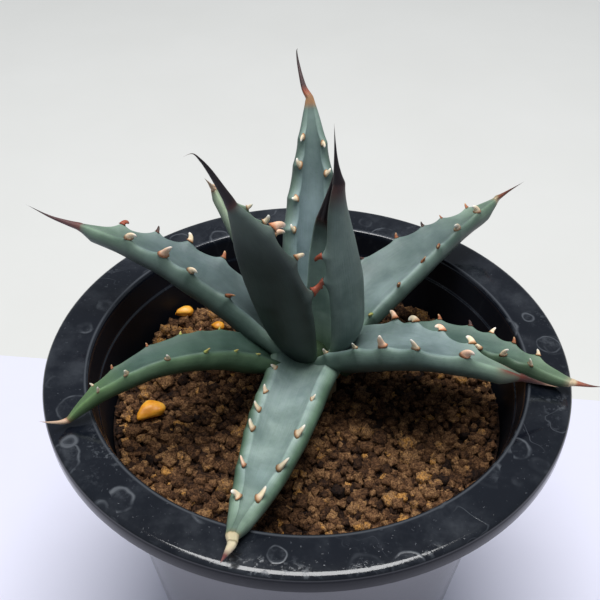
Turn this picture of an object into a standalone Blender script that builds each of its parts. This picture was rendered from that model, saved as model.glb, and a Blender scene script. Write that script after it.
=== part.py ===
"""A small potted agave: turned nursery pot, drain net, grit, rooted stem, eleven leaves and pebbles.

The origin is the centre of the pot's flat underside and +Z is up. Sizes are in metres. The leaf table
is in millimetres and degrees, measured from the crown's axis and from the height of the pot's rim.
"""

import math
from dataclasses import dataclass

import bmesh
import bpy
from mathutils import Matrix, Vector, noise

MM = 0.001
GAP = 0.3 * MM                  # air between neighbouring pieces
MERGE = 0.01 * MM

# ---- pot ------------------------------------------------------------------------------------------
POT_HEIGHT = 125 * MM
RIM_RADIUS = 75 * MM            # outer edge of the flat flange
MOUTH_RADIUS = 62.4 * MM        # inner edge of the flange
LIP_DEPTH = 6 * MM              # how far the flange's outer edge turns down
FLANGE_THICKNESS = 1.8 * MM
EDGE_ROUND = 0.8 * MM
WALL = 1.4 * MM
WALL_TOP_RADIUS = 62.5 * MM     # outside of the tapered wall, run up to the rim's height
WALL_TAPER = 0.139              # radius lost per unit of depth
FLOOR = 2.2 * MM
LEDGE_DEPTH = 8 * MM            # stacking ledge inside the mouth
LEDGE_WIDTH = 0.6 * MM
LIP_DRAFT = 0.3 * MM            # how far the turned-down edge leans in by its lower end
FOOT_CHAMFER = 1.5 * MM
POT_STEPS = 60
DRAIN_SLOTS = 8
DRAIN_SLOT_WIDTH = 3.4 * MM
DRAIN_SLOT_LENGTH = 12 * MM
DRAIN_RING_RADIUS = 27 * MM

# ---- drain net ------------------------------------------------------------------------------------
NET_RADIUS = 41 * MM
NET_THICKNESS = 0.9 * MM
NET_RINGS = 3
NET_SPOKES = 10
NET_HUB_RADIUS = 5 * MM
NET_STRAND = 1.8 * MM

# ---- grit, stem and roots -------------------------------------------------------------------------
GRIT_DEPTH = 20 * MM            # from the rim down to the grit
GRIT_CLEARANCE = 0.5 * MM       # from the pot's inside
GRIT_LUMPS = 1.2 * MM
GRIT_LUMP_SIZE = 9 * MM
GRIT_STEPS = 44
GRIT_RINGS = 9
CROWN_X = 2 * MM
CROWN_Y = 7 * MM
STEM_PROFILE = ((-2, 3.0), (-7, 5.6), (-16, 7.6), (-34, 7.0), (-50, 4.0))   # mm: height, radius
STEM_STEPS = 14
STEM_CLEARANCE = 1.5 * GAP
ROOT_COUNT = 6
ROOT_LENGTH = 38 * MM
ROOT_RADIUS = 2.0 * MM
ROOT_START = -40 * MM           # height against the rim
ROOT_OFFSET = 3.2 * MM          # from the stem's axis to the root's hidden end
ROOT_DROOP = 38                 # degrees below level
ROOT_DROOP_SPREAD = 9
ROOT_STEPS = 4
ROOT_SIDES = 6
ROOT_WAVE = 2.5 * MM
ROOT_THINNING = 0.75            # share of the radius lost by the tip

# ---- leaves ---------------------------------------------------------------------------------------
LEAF_STATIONS = 20
TOOTH_HEIGHT = 2.4 * MM
MARGIN_THICKNESS = 0.8 * MM
LEAF_THICKNESS = 7.6 * MM
LEAF_THINNING = 0.4             # share of the thickness lost by the tip
CHANNEL_RATIO = 0.26            # depth of the channel over the half width
TIP_HALF_WIDTH = 1.25 * MM
SPINE_RADII = (1.15 * MM, 0.95 * MM, 0.6 * MM)
SPINE_STRAIGHT = 0.35           # share of the spine that follows the leaf before it bends
FIRST_TOOTH = 0.2               # along the leaf, from 0 at the foot to 1 at the tip
LAST_TOOTH = 0.9
UPPER_POINTS = (0.6, 0.0, -0.6)
LOWER_POINTS = (-0.74, 0.0, 0.74)
SPINE_ANGLES = (12, 50, 90, 130, 168, 192, 228, 270, 312, 348)


@dataclass
class Leaf:
    """One leaf, from its foot at the crown to the point of its spine."""
    name: str
    heading: float              # degrees, counter-clockwise from +X, seen from above
    out: tuple                  # four guide points: distance from the crown's axis
    up: tuple                   # their height above the rim
    sway: tuple                 # the last three points' distance to the left of the heading
    half_width: tuple           # at the foot, and at the widest place
    widest: float               # where that place is, from 0 at the foot to 1 at the tip
    roll: tuple                 # degrees about the leaf's own length, at the foot and at the tip
    spine: tuple                # the spine's point: out, up, sway
    teeth: tuple                # number on the left margin and on the right
    skin: str


# From the lowest leaf to the innermost: each one is trimmed where a later one clasps it.
LEAVES = (
    Leaf("leaf_right_lower", -12, (7, 25, 48, 73), (-8, 9, 6, 4.5), (11, 4, -6), (7.0, 8.1), 0.37,
         (-20, -16), (82, 4.5, -7), (7, 5), "leaf_green"),
    Leaf("leaf_left_lower", 206, (9, 27, 53, 74), (-3, 15, 20, 4), (-1, -1, 2), (7.6, 6.5), 0.30,
         (-1, 24), (81, 7, 3), (6, 6), "leaf_green"),
    Leaf("leaf_front", 254, (6, 28, 52, 75), (0, 5, -1, 5), (0, 1, 1), (11.0, 9.5), 0.22,
         (1, 0), (86, 8, 2), (5, 6), "leaf_glaucous"),
    Leaf("leaf_right", -27, (3, 19, 37, 57), (-2, 14, 17, 14), (-1, -2, -1), (7.4, 10.5), 0.41,
         (-4, -32), (70, 8, 5), (6, 5), "leaf_glaucous"),
    Leaf("leaf_left_upper", 164, (7, 23, 45, 70), (-2, 18, 26, 27), (-1, -1, 0), (9.0, 9.8), 0.44,
         (11, 26), (87, 30, 1), (5, 6), "leaf_glaucous"),
    Leaf("leaf_right_upper", 41, (6, 28, 50, 77), (-1, 16, 12, 15), (1, 2, 0), (8.1, 9.9), 0.35,
         (1, -31), (82, 23, -7), (6, 6), "leaf_glaucous"),
    Leaf("leaf_back", 92, (4, 16, 27, 42), (0, 18, 34, 56), (2, -2, 0), (8.0, 8.0), 0.30,
         (0, 2), (55, 65, 3), (5, 5), "leaf_glaucous"),
    Leaf("leaf_behind_left", 160, (2, 8, 16, 28), (-1, 16, 31, 47), (-1, 0, 1), (7.6, 9.0), 0.33,
         (-6, 2), (29, 53, 6), (4, 4), "leaf_green"),
    Leaf("leaf_centre_left", 233, (6, 13, 19, 29), (-1, 22, 44, 63), (0, 0, -3), (6.9, 9.6), 0.47,
         (13, 12), (39, 78, -9), (4, 4), "leaf_shaded"),
    Leaf("leaf_centre_right", -31, (8, 12, 6, 8), (0, 19, 37, 57), (1, -1, 0), (7.2, 8.1), 0.39,
         (-5, -3), (6, 73, -1), (2, 3), "leaf_shaded"),
    Leaf("leaf_spear", 61, (4, 2, 1, -1), (3, 17, 31, 44), (0, -1, -2), (4.0, 2.6), 0.32,
         (-1, -1), (2, 62, -5), (0, 0), "leaf_shaded"),
)

# ---- pebbles: name, place in plan, (length, width, height) in mm, turn in degrees --------------------
PEBBLE_DENTS = 0.22             # share of the radius
PEBBLES = (
    ("pebble_front_left", (-45.5, -5.5), (7.6, 5.4, 4.2), 20),
    ("pebble_back_left", (-39.5, 38.5), (5.6, 4.0, 3.4), 10),
    ("pebble_back_left_small", (-28.5, 32.5), (3.8, 3.0, 2.6), -15),
)

# ---- colours: base colour, roughness ---------------------------------------------------------------
SKINS = {
    "pot_black": ((0.012, 0.013, 0.016), 0.22),
    "net_black": ((0.02, 0.02, 0.02), 0.5),
    "grit_brown": ((0.16, 0.075, 0.035), 0.95),
    "stem_pale": ((0.45, 0.40, 0.26), 0.8),
    "leaf_glaucous": ((0.16, 0.25, 0.22), 0.55),
    "leaf_green": ((0.11, 0.20, 0.13), 0.5),
    "leaf_shaded": ((0.10, 0.15, 0.14), 0.6),
    "pebble_amber": ((0.75, 0.33, 0.05), 0.6),
}


# ---- scene helpers ----------------------------------------------------------------------------------
def clear_scene():
    for old in list(bpy.data.objects):
        bpy.data.objects.remove(old, do_unlink=True)


def skin(name):
    """The shared material of that name, made the first time it is asked for."""
    material = bpy.data.materials.get(name)
    if material:
        return material
    colour, roughness = SKINS[name]
    material = bpy.data.materials.new(name)
    material.use_nodes = True
    shader = material.node_tree.nodes["Principled BSDF"]
    shader.inputs["Base Color"].default_value = (*colour, 1)
    shader.inputs["Roughness"].default_value = roughness
    material.diffuse_color = (*colour, 1)
    return material


def add_object(name, bm, skin_name, smooth=True):
    """Turn a bmesh into a named object with outward faces and its material."""
    bmesh.ops.recalc_face_normals(bm, faces=bm.faces)
    if bm.calc_volume(signed=True) < 0:
        bmesh.ops.reverse_faces(bm, faces=bm.faces)
    mesh = bpy.data.meshes.new(name)
    bm.to_mesh(mesh)
    bm.free()
    if smooth:
        mesh.shade_smooth()
        mesh.set_sharp_from_angle(angle=math.radians(40))
    mesh.materials.append(skin(skin_name))
    thing = bpy.data.objects.new(name, mesh)
    bpy.context.collection.objects.link(thing)
    return thing


def make_cutter(thing):
    thing.hide_render = True
    thing.display_type = 'WIRE'
    return thing


def cut(thing, cutter):
    trim = thing.modifiers.new("cut_" + cutter.name, 'BOOLEAN')
    trim.operation = 'DIFFERENCE'
    trim.solver = 'EXACT'
    trim.object = cutter


def join(thing, other):
    union = thing.modifiers.new("join_" + other.name, 'BOOLEAN')
    union.operation = 'UNION'
    union.solver = 'EXACT'
    union.object = other
    make_cutter(other)


def turned(profile, steps):
    """Spin a profile of (radius, height) about the Z axis; points on the axis close the shape."""
    bm = bmesh.new()
    points = [bm.verts.new((radius, 0, height)) for radius, height in profile]
    edges = [bm.edges.new(pair) for pair in zip(points, points[1:])]
    bmesh.ops.spin(bm, geom=points + edges, cent=(0, 0, 0), axis=(0, 0, 1),
                   angle=math.tau, steps=steps, use_duplicate=False)
    bmesh.ops.remove_doubles(bm, verts=bm.verts, dist=MERGE)
    return bm


def skin_rings(bm, rings):
    """Join rings of equally many points with quads and return the quads, ring by ring."""
    bands = []
    for near, far in zip(rings, rings[1:]):
        count = len(near)
        band = [bm.faces.new((near[i], near[(i + 1) % count], far[(i + 1) % count], far[i]))
                for i in range(count)]
        bands.append(band)
    return bands


def ring_of(bm, radius, angles, height):
    """Level points at a radius from the Z axis, one at each angle."""
    return [bm.verts.new((radius * math.cos(a), radius * math.sin(a), height)) for a in angles]


def close_with_point(bm, ring, place):
    tip = bm.verts.new(place)
    for i, point in enumerate(ring):
        bm.faces.new((point, ring[(i + 1) % len(ring)], tip))


# ---- pot and net ------------------------------------------------------------------------------------
def wall_radius(depth):
    """Outside radius of the tapered wall at a depth below the rim."""
    return WALL_TOP_RADIUS - WALL_TAPER * depth


def pot_profile():
    """Inner floor, up the inside, over the flange, down the outside and back along the underside."""
    top = POT_HEIGHT
    inner_floor = wall_radius(POT_HEIGHT - FLOOR) - WALL
    return (
        (0, FLOOR),
        (inner_floor - FOOT_CHAMFER, FLOOR),
        (inner_floor, FLOOR + FOOT_CHAMFER),
        (wall_radius(LEDGE_DEPTH) - WALL, top - LEDGE_DEPTH - LEDGE_WIDTH),
        (wall_radius(LEDGE_DEPTH) - WALL + LEDGE_WIDTH, top - LEDGE_DEPTH),
        (MOUTH_RADIUS - LEDGE_WIDTH, top - 1.6 * EDGE_ROUND),
        (MOUTH_RADIUS, top - 0.4 * EDGE_ROUND),
        (MOUTH_RADIUS + EDGE_ROUND, top),
        (RIM_RADIUS - 1.6 * EDGE_ROUND, top),
        (RIM_RADIUS - 0.4 * EDGE_ROUND, top - 0.4 * EDGE_ROUND),
        (RIM_RADIUS, top - 1.6 * EDGE_ROUND),
        (RIM_RADIUS - LIP_DRAFT, top - LIP_DEPTH),
        (RIM_RADIUS - LIP_DRAFT - WALL, top - LIP_DEPTH),
        (RIM_RADIUS - 2 * LIP_DRAFT - WALL, top - FLANGE_THICKNESS),
        (wall_radius(0) + WALL, top - FLANGE_THICKNESS),
        (wall_radius(LEDGE_DEPTH) + LEDGE_WIDTH, top - LEDGE_DEPTH - WALL),
        (wall_radius(LEDGE_DEPTH), top - LEDGE_DEPTH - 2 * WALL),
        (wall_radius(POT_HEIGHT - FOOT_CHAMFER), FOOT_CHAMFER),
        (wall_radius(POT_HEIGHT) - FOOT_CHAMFER, 0),
        (0, 0),
    )


def drain_slot_cutter(index):
    """A round-ended slot that points at the pot's axis and runs past both faces of the floor."""
    bm = bmesh.new()
    straight = DRAIN_SLOT_LENGTH - DRAIN_SLOT_WIDTH
    outline = []
    for end, first in ((1, -90), (-1, 90)):
        for step in range(5):
            angle = math.radians(first + step * 45)
            x = DRAIN_RING_RADIUS + end * straight / 2 + math.cos(angle) * DRAIN_SLOT_WIDTH / 2
            outline.append((x, math.sin(angle) * DRAIN_SLOT_WIDTH / 2))
    base = bm.faces.new([bm.verts.new((x, y, -FLOOR)) for x, y in outline])
    raised = bmesh.ops.extrude_face_region(bm, geom=[base])
    lifted = [v for v in raised["geom"] if isinstance(v, bmesh.types.BMVert)]
    bmesh.ops.translate(bm, vec=(0, 0, 3 * FLOOR), verts=lifted)
    turn = Matrix.Rotation(math.tau * index / DRAIN_SLOTS, 4, 'Z')
    bmesh.ops.transform(bm, matrix=turn, verts=bm.verts)
    return make_cutter(add_object("drain_slot_%d" % (index + 1), bm, "net_black", smooth=False))


def make_pot():
    pot = add_object("pot", turned(pot_profile(), POT_STEPS), "pot_black")
    for index in range(DRAIN_SLOTS):
        cut(pot, drain_slot_cutter(index))
    return pot


def make_drain_net():
    """A disc of rings and spokes: a polar grid with its open cells left out, given a thickness."""
    pitch = (NET_RADIUS - NET_HUB_RADIUS) / NET_RINGS
    radii = []
    for ring in range(NET_RINGS):
        radii.append(NET_HUB_RADIUS + ring * pitch)
        radii.append(NET_HUB_RADIUS + (ring + 1) * pitch - NET_STRAND)
    radii.append(NET_RADIUS)
    bm = bmesh.new()
    middle = bm.verts.new((0, 0, 0))
    rings = []
    for radius in radii:
        half = NET_STRAND / 2 / radius
        spokes = [math.tau * spoke / NET_SPOKES for spoke in range(NET_SPOKES)]
        angles = [spoke + side * half for spoke in spokes for side in (-1, 1)]
        rings.append(ring_of(bm, radius, angles, 0))
    count = 2 * NET_SPOKES
    for i in range(count):
        bm.faces.new((middle, rings[0][i], rings[0][(i + 1) % count]))
    for band, (near, far) in enumerate(zip(rings, rings[1:])):
        for i in range(count):
            open_cell = band % 2 == 0 and i % 2 == 1
            if not open_cell:
                bm.faces.new((near[i], near[(i + 1) % count], far[(i + 1) % count], far[i]))
    bmesh.ops.recalc_face_normals(bm, faces=bm.faces)
    sheet = list(bm.faces)
    raised = bmesh.ops.extrude_face_region(bm, geom=sheet, use_keep_orig=True)
    lifted = [v for v in raised["geom"] if isinstance(v, bmesh.types.BMVert)]
    bmesh.ops.translate(bm, vec=(0, 0, NET_THICKNESS), verts=lifted)
    bmesh.ops.translate(bm, vec=(0, 0, FLOOR + GAP), verts=bm.verts)
    return add_object("drain_net", bm, "net_black", smooth=False)


# ---- stem and roots ----------------------------------------------------------------------------------
def tapered_root(index, extra):
    """One root: a drooping, slightly wavy cone. extra widens it all round, to make its cutter."""
    bm = bmesh.new()
    heading = math.tau * index / ROOT_COUNT
    droop = math.radians(ROOT_DROOP + ROOT_DROOP_SPREAD * math.sin(index * 2.1))
    ahead = Vector((math.cos(heading), math.sin(heading), 0))
    across = Vector((-math.sin(heading), math.cos(heading), 0))
    along = ahead * math.cos(droop) - Vector((0, 0, math.sin(droop)))
    upward = along.cross(across)
    start = Vector((CROWN_X, CROWN_Y, POT_HEIGHT + ROOT_START)) + along * ROOT_OFFSET
    rings = []
    for step in range(ROOT_STEPS + 1):
        t = step / ROOT_STEPS
        centre = start + along * (ROOT_LENGTH * t) + across * (ROOT_WAVE * math.sin(t * 5 + index))
        radius = ROOT_RADIUS * (1 - ROOT_THINNING * t) + extra
        ring = []
        for side in range(ROOT_SIDES):
            angle = math.tau * side / ROOT_SIDES
            ring.append(bm.verts.new(centre + radius * (across * math.cos(angle) + upward * math.sin(angle))))
        rings.append(ring)
    skin_rings(bm, rings)
    bm.faces.new(rings[0])
    close_with_point(bm, rings[-1], centre + along * (ROOT_RADIUS + 3 * extra))
    return bm


def stem_shape(extra):
    """The short turned stem, from its top among the leaves to its end deep in the grit."""
    top, bottom = STEM_PROFILE[0], STEM_PROFILE[-1]
    profile = [(0, POT_HEIGHT + top[0] * MM + extra)]
    profile += [(radius * MM + extra, POT_HEIGHT + height * MM) for height, radius in STEM_PROFILE]
    profile += [(0, POT_HEIGHT + bottom[0] * MM - 3 * MM - extra)]
    bm = turned(profile, STEM_STEPS)
    bmesh.ops.translate(bm, vec=(CROWN_X, CROWN_Y, 0), verts=bm.verts)
    return bm


def make_stem(name, extra=0.0):
    stem = add_object(name, stem_shape(extra), "stem_pale")
    for index in range(ROOT_COUNT):
        root = add_object("%s_root_%d" % (name, index + 1), tapered_root(index, extra), "stem_pale")
        join(stem, root)
    return stem


# ---- grit --------------------------------------------------------------------------------------------
def grit_height(x, y):
    """Height of the grit's lumpy top at a place in plan."""
    lump = noise.noise(Vector((x, y, 0)) / GRIT_LUMP_SIZE)
    return POT_HEIGHT - GRIT_DEPTH + GRIT_LUMPS * lump


def make_grit(stem_cutter):
    """The filling: a lumpy top, sides that follow the pot's inside, and a flat bottom on the net."""
    bm = bmesh.new()
    bottom = FLOOR + GAP + NET_THICKNESS + GAP
    top_radius = wall_radius(GRIT_DEPTH) - WALL - GRIT_CLEARANCE
    foot_radius = wall_radius(POT_HEIGHT - bottom) - WALL - GRIT_CLEARANCE
    angles = [math.tau * step / GRIT_STEPS for step in range(GRIT_STEPS)]
    rings = []
    for ring in range(1, GRIT_RINGS + 1):
        radius = top_radius * ring / GRIT_RINGS
        places = [(radius * math.cos(a), radius * math.sin(a)) for a in angles]
        rings.append([bm.verts.new((x, y, grit_height(x, y))) for x, y in places])
    rings.append(ring_of(bm, foot_radius, angles, bottom))
    skin_rings(bm, rings)
    close_with_point(bm, rings[0], (0, 0, grit_height(0, 0)))
    bm.faces.new(rings[-1])
    grit = add_object("grit", bm, "grit_brown")
    cut(grit, stem_cutter)
    return grit


def make_pebble(name, place, size, turn):
    """A worn stone that lies just clear of the grit."""
    bm = bmesh.new()
    bmesh.ops.create_icosphere(bm, subdivisions=2, radius=0.5)
    seed = Vector((place[0], place[1], 0))
    for point in bm.verts:
        point.co *= 1 + PEBBLE_DENTS * noise.noise(point.co * 2.2 + seed)
    stretch = Matrix.Diagonal((size[0] * MM, size[1] * MM, size[2] * MM, 1))
    bmesh.ops.transform(bm, matrix=Matrix.Rotation(math.radians(turn), 4, 'Z') @ stretch, verts=bm.verts)
    x, y = place[0] * MM, place[1] * MM
    lift = max(grit_height(x + p.co.x, y + p.co.y) - p.co.z for p in bm.verts if p.co.z < 0)
    bmesh.ops.translate(bm, vec=(x, y, lift + 2 * GAP), verts=bm.verts)
    return add_object(name, bm, "pebble_amber")


# ---- leaves ------------------------------------------------------------------------------------------
def bezier(guides, t):
    a, b, c, d = guides
    s = 1 - t
    return a * s ** 3 + b * (3 * s * s * t) + c * (3 * s * t * t) + d * t ** 3


def bezier_slope(guides, t):
    a, b, c, d = guides
    s = 1 - t
    return ((b - a) * (s * s) + (c - b) * (2 * s * t) + (d - c) * (t * t)).normalized()


def leaf_place(leaf, out, up, sway):
    """A point from its distance along the heading, height above the rim and distance to the left."""
    angle = math.radians(leaf.heading)
    ahead = Vector((math.cos(angle), math.sin(angle), 0))
    left = Vector((-math.sin(angle), math.cos(angle), 0))
    return Vector((CROWN_X, CROWN_Y, POT_HEIGHT)) + (ahead * out + left * sway + Vector((0, 0, up))) * MM


def leaf_half_width(leaf, t):
    """Half the leaf's width: swelling from the foot to the widest place, then tapering to the tip."""
    foot, widest = leaf.half_width[0] * MM, leaf.half_width[1] * MM
    if t < leaf.widest:
        return foot + (widest - foot) * math.sin(t / leaf.widest * math.pi / 2)
    fall = (t - leaf.widest) / (1 - leaf.widest)
    return TIP_HALF_WIDTH + (widest - TIP_HALF_WIDTH) * max(math.cos(fall * math.pi / 2), 0) ** 0.9


def leaf_frame(leaf, slope, t):
    """The directions across the leaf and out of its upper face."""
    angle = math.radians(leaf.heading)
    left = Vector((-math.sin(angle), math.cos(angle), 0))
    across = (left - slope * slope.dot(left)).normalized()
    roll = leaf.roll[0] + (leaf.roll[1] - leaf.roll[0]) * t
    across = Matrix.Rotation(math.radians(roll), 3, slope) @ across
    return across, slope.cross(across)


def leaf_section(half_width, t, extra):
    """One cross-section as (across, above) pairs: channelled above, keeled below, thin margins."""
    channel = CHANNEL_RATIO * half_width * (1 - t ** 3)
    thickness = min(LEAF_THICKNESS * (1 - LEAF_THINNING * t), 1.1 * half_width)
    edge = MARGIN_THICKNESS / 2
    half = half_width + extra
    above = [(half * k, extra - channel * (1 - k * k)) for k in UPPER_POINTS]
    depth = channel + thickness
    below = [(half * k, -extra - edge - depth * math.sqrt(1 - k * k)) for k in LOWER_POINTS]
    left = [(half, -edge - extra), (half, edge + extra)]
    right = [(-half, edge + extra), (-half, -edge - extra)]
    return left[1:] + above + right + below + left[:1]


def leaf_ring(bm, leaf, guides, t, extra):
    centre = bezier(guides, t)
    across, above = leaf_frame(leaf, bezier_slope(guides, t), t)
    section = leaf_section(leaf_half_width(leaf, t), t, extra)
    return [bm.verts.new(centre + across * x + above * y) for x, y in section]


def spine_rings(bm, leaf, guides, extra):
    """Round rings that carry the leaf on into its spine, and the spine's point."""
    start = guides[3]
    slope = bezier_slope(guides, 1)
    across, above = leaf_frame(leaf, slope, 1)
    point = leaf_place(leaf, *leaf.spine)
    bend = start + slope * ((point - start).length * SPINE_STRAIGHT)
    centre_drop = above * (-1.2 * MM)
    rings = []
    for step, radius in enumerate(SPINE_RADII):
        t = (step + 0.35) / len(SPINE_RADII)
        centre = start * (1 - t) ** 2 + bend * (2 * t * (1 - t)) + point * (t * t) + centre_drop * (1 - t)
        ring = []
        for degrees in SPINE_ANGLES:
            angle = math.radians(degrees)
            offset = across * math.cos(angle) + above * math.sin(angle)
            ring.append(bm.verts.new(centre + offset * (radius + extra)))
        rings.append(ring)
    return rings, point + (point - bend).normalized() * extra


def raise_tooth(bm, face, height, outward):
    """Raise a quad of the margin into a pointed tooth."""
    middle = face.calc_center_median() + outward * height
    corners = list(face.verts)
    bm.faces.remove(face)
    close_with_point(bm, corners, middle)


def leaf_mesh(leaf, extra=0.0):
    """The whole leaf as one closed skin. extra swells it all round, to make its cutter."""
    bm = bmesh.new()
    guides = [leaf_place(leaf, *guide) for guide in zip(leaf.out, leaf.up, (0,) + leaf.sway)]
    rings = [leaf_ring(bm, leaf, guides, step / LEAF_STATIONS, extra) for step in range(LEAF_STATIONS + 1)]
    tail, point = spine_rings(bm, leaf, guides, extra)
    bands = skin_rings(bm, rings + tail)
    bm.faces.new(rings[0])
    close_with_point(bm, tail[-1], point)
    if extra == 0:
        add_teeth(bm, leaf, guides, bands)
    return bm


def add_teeth(bm, leaf, guides, bands):
    """Teeth along both margins, evenly spread from near the foot to near the tip."""
    left_face, right_face = 9, 4            # the margins' quads in each band of ten
    for side, count, slot in ((1, leaf.teeth[0], left_face), (-1, leaf.teeth[1], right_face)):
        for index in range(count):
            place = FIRST_TOOTH + (LAST_TOOTH - FIRST_TOOTH) * index / (count - 1)
            station = round(place * (LEAF_STATIONS - 1))
            t = (station + 0.5) / LEAF_STATIONS
            slope = bezier_slope(guides, t)
            across, above = leaf_frame(leaf, slope, t)
            outward = (across * side + above * 0.4 - slope * 0.2).normalized()
            raise_tooth(bm, bands[station][slot], TOOTH_HEIGHT * (1 - 0.3 * t), outward)


def make_leaves(stem_cutter):
    """Every leaf, trimmed by the stem and by each leaf that lies further in."""
    leaves = [add_object(leaf.name, leaf_mesh(leaf), leaf.skin) for leaf in LEAVES]
    cutters = []
    for leaf in LEAVES:
        swollen = add_object(leaf.name + "_cutter", leaf_mesh(leaf, GAP), leaf.skin)
        cutters.append(make_cutter(swollen))
    for index, thing in enumerate(leaves):
        cut(thing, stem_cutter)
        for cutter in cutters[index + 1:]:
            cut(thing, cutter)
    return leaves


def main():
    clear_scene()
    make_pot()
    make_drain_net()
    make_stem("stem_and_roots")
    stem_cutter = make_cutter(make_stem("stem_cutter", STEM_CLEARANCE))
    make_grit(stem_cutter)
    make_leaves(stem_cutter)
    for pebble in PEBBLES:
        make_pebble(*pebble)


main()
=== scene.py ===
# %% [markdown]
# # A small potted agave
# A young agave stands in a wide-rimmed black nursery pot filled with grit of baked brown loam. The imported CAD
# part gives the frame: where each piece is and how big it is. This lesson gives the pieces their looks. Most
# are modelled again with more detail round the same sizes, and each stands in for the CAD piece it replaces.

# %% Load the frame
import math
import random

import bpy
import numpy as np
from mathutils import Matrix, Vector, noise


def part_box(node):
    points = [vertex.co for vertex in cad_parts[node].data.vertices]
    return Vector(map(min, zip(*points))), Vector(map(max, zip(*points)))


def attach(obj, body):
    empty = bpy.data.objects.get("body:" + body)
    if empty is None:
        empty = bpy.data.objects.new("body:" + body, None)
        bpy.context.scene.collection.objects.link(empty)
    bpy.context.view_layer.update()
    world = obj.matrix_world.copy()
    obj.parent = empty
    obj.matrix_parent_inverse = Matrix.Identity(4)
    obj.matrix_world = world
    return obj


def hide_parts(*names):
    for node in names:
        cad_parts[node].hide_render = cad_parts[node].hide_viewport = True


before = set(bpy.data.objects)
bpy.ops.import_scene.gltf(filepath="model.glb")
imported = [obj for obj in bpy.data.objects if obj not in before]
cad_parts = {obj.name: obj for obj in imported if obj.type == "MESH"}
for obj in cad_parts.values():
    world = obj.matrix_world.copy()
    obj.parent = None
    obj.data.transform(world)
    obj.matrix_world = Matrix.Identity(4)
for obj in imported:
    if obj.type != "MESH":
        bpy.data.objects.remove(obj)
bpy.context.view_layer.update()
MM = 0.001
print("frame pieces:", sorted(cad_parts))

# %% [markdown]
# ## Small helpers
# An operator works on everything that is selected, so each modelling step starts with nothing selected.
# These helpers cover what every piece repeats: copy or join things, select by place, close the mesh with its
# faces outwards, and hand the piece to the frame.

# %% Modelling helpers
def deselect():
    if bpy.context.object and bpy.context.object.mode != 'OBJECT':
        bpy.ops.object.mode_set(mode='OBJECT')
    bpy.ops.object.select_all(action='DESELECT')


def activate(thing):
    deselect()
    thing.select_set(True)
    bpy.context.view_layer.objects.active = thing


def select_where(thing, wanted):
    """In edit mode, select the vertices for which wanted(place) is true."""
    bpy.ops.object.mode_set(mode='OBJECT')
    for vertex in thing.data.vertices:
        vertex.select = wanted(vertex.co)
    bpy.ops.object.mode_set(mode='EDIT')
    bpy.ops.mesh.select_mode(type='VERT')


def close_and_face_outwards(thing, distance=0.000001):
    """Merge doubles, cap any open ring and turn the faces outwards."""
    activate(thing)
    bpy.ops.object.mode_set(mode='EDIT')
    bpy.ops.mesh.select_all(action='SELECT')
    bpy.ops.mesh.remove_doubles(threshold=distance)
    bpy.ops.mesh.select_all(action='SELECT')
    bpy.ops.mesh.fill_holes(sides=0)
    bpy.ops.mesh.select_all(action='SELECT')
    bpy.ops.mesh.normals_make_consistent(inside=False)
    bpy.ops.object.mode_set(mode='OBJECT')


def place_in_mesh(thing):
    """Move the object's place into its mesh, so that the object sits at the origin."""
    activate(thing)
    bpy.ops.object.transform_apply(location=True, rotation=True, scale=True)


def apply_modifier(thing, modifier):
    activate(thing)
    bpy.ops.object.modifier_apply(modifier=modifier.name)


def copy_of(thing):
    """A copy with a mesh of its own."""
    copy = thing.copy()
    copy.data = thing.data.copy()
    bpy.context.collection.objects.link(copy)
    return copy


def thing_from(name, points, faces):
    """A new object from mesh points and faces."""
    mesh = bpy.data.meshes.new(name)
    mesh.from_pydata(points, [], faces)
    thing = bpy.data.objects.new(name, mesh)
    bpy.context.collection.objects.link(thing)
    return thing


def join(things, name):
    activate(things[0])
    for thing in things[1:]:
        thing.select_set(True)
    if len(things) > 1:
        bpy.ops.object.join()
    things[0].name = name
    return things[0]


def wear(thing, skin):
    thing.data.materials.clear()
    thing.data.materials.append(skin)


def finish_piece(thing, name, skin, slot, *replaced):
    """Name the piece, give it its material, and let it ride on the frame in place of the CAD pieces."""
    thing.name = name
    thing.data.name = name
    wear(thing, skin)
    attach(thing, "root")
    if replaced:
        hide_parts(*replaced)
    print(name, "-", len(thing.data.polygons), "faces")
    return thing

# %% [markdown]
# ## Node helpers
# A finish is a small tree of shader nodes. Writing every node and link in full hides what the tree does, so
# these helpers add a node, set or link its inputs, and return the socket that the next node needs.

# %% Node helpers
def new_skin(name):
    """A node material, its tree and its Principled shader."""
    skin = bpy.data.materials.new(name)
    skin.use_nodes = True
    return skin, skin.node_tree, skin.node_tree.nodes["Principled BSDF"]


def is_socket(value):
    return isinstance(value, bpy.types.NodeSocket)


def feed(tree, node, inputs):
    """Give a node its inputs: a socket is linked, a value is set."""
    for key, value in inputs.items():
        if is_socket(value):
            tree.links.new(value, node.inputs[key])
        else:
            node.inputs[key].default_value = value


def put(tree, kind, inputs=None, **settings):
    """Add a node with its settings and inputs."""
    node = tree.nodes.new("ShaderNode" + kind)
    for key, value in settings.items():
        setattr(node, key, value)
    feed(tree, node, inputs or {})
    return node


def math_of(tree, operation, a, b=0.0, clamp=False):
    return put(tree, "Math", {0: a, 1: b}, operation=operation, use_clamp=clamp).outputs[0]


def times(tree, a, b):
    return math_of(tree, 'MULTIPLY', a, b)


def most(tree, first, *others):
    """The greatest of several values."""
    for other in others:
        first = math_of(tree, 'MAXIMUM', first, other)
    return first


def distance_from(tree, value, middle):
    return math_of(tree, 'ABSOLUTE', math_of(tree, 'SUBTRACT', value, middle))


def vector_of(tree, operation, a, b, output=0):
    return put(tree, "VectorMath", {0: a, 1: b}, operation=operation).outputs[output]


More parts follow.
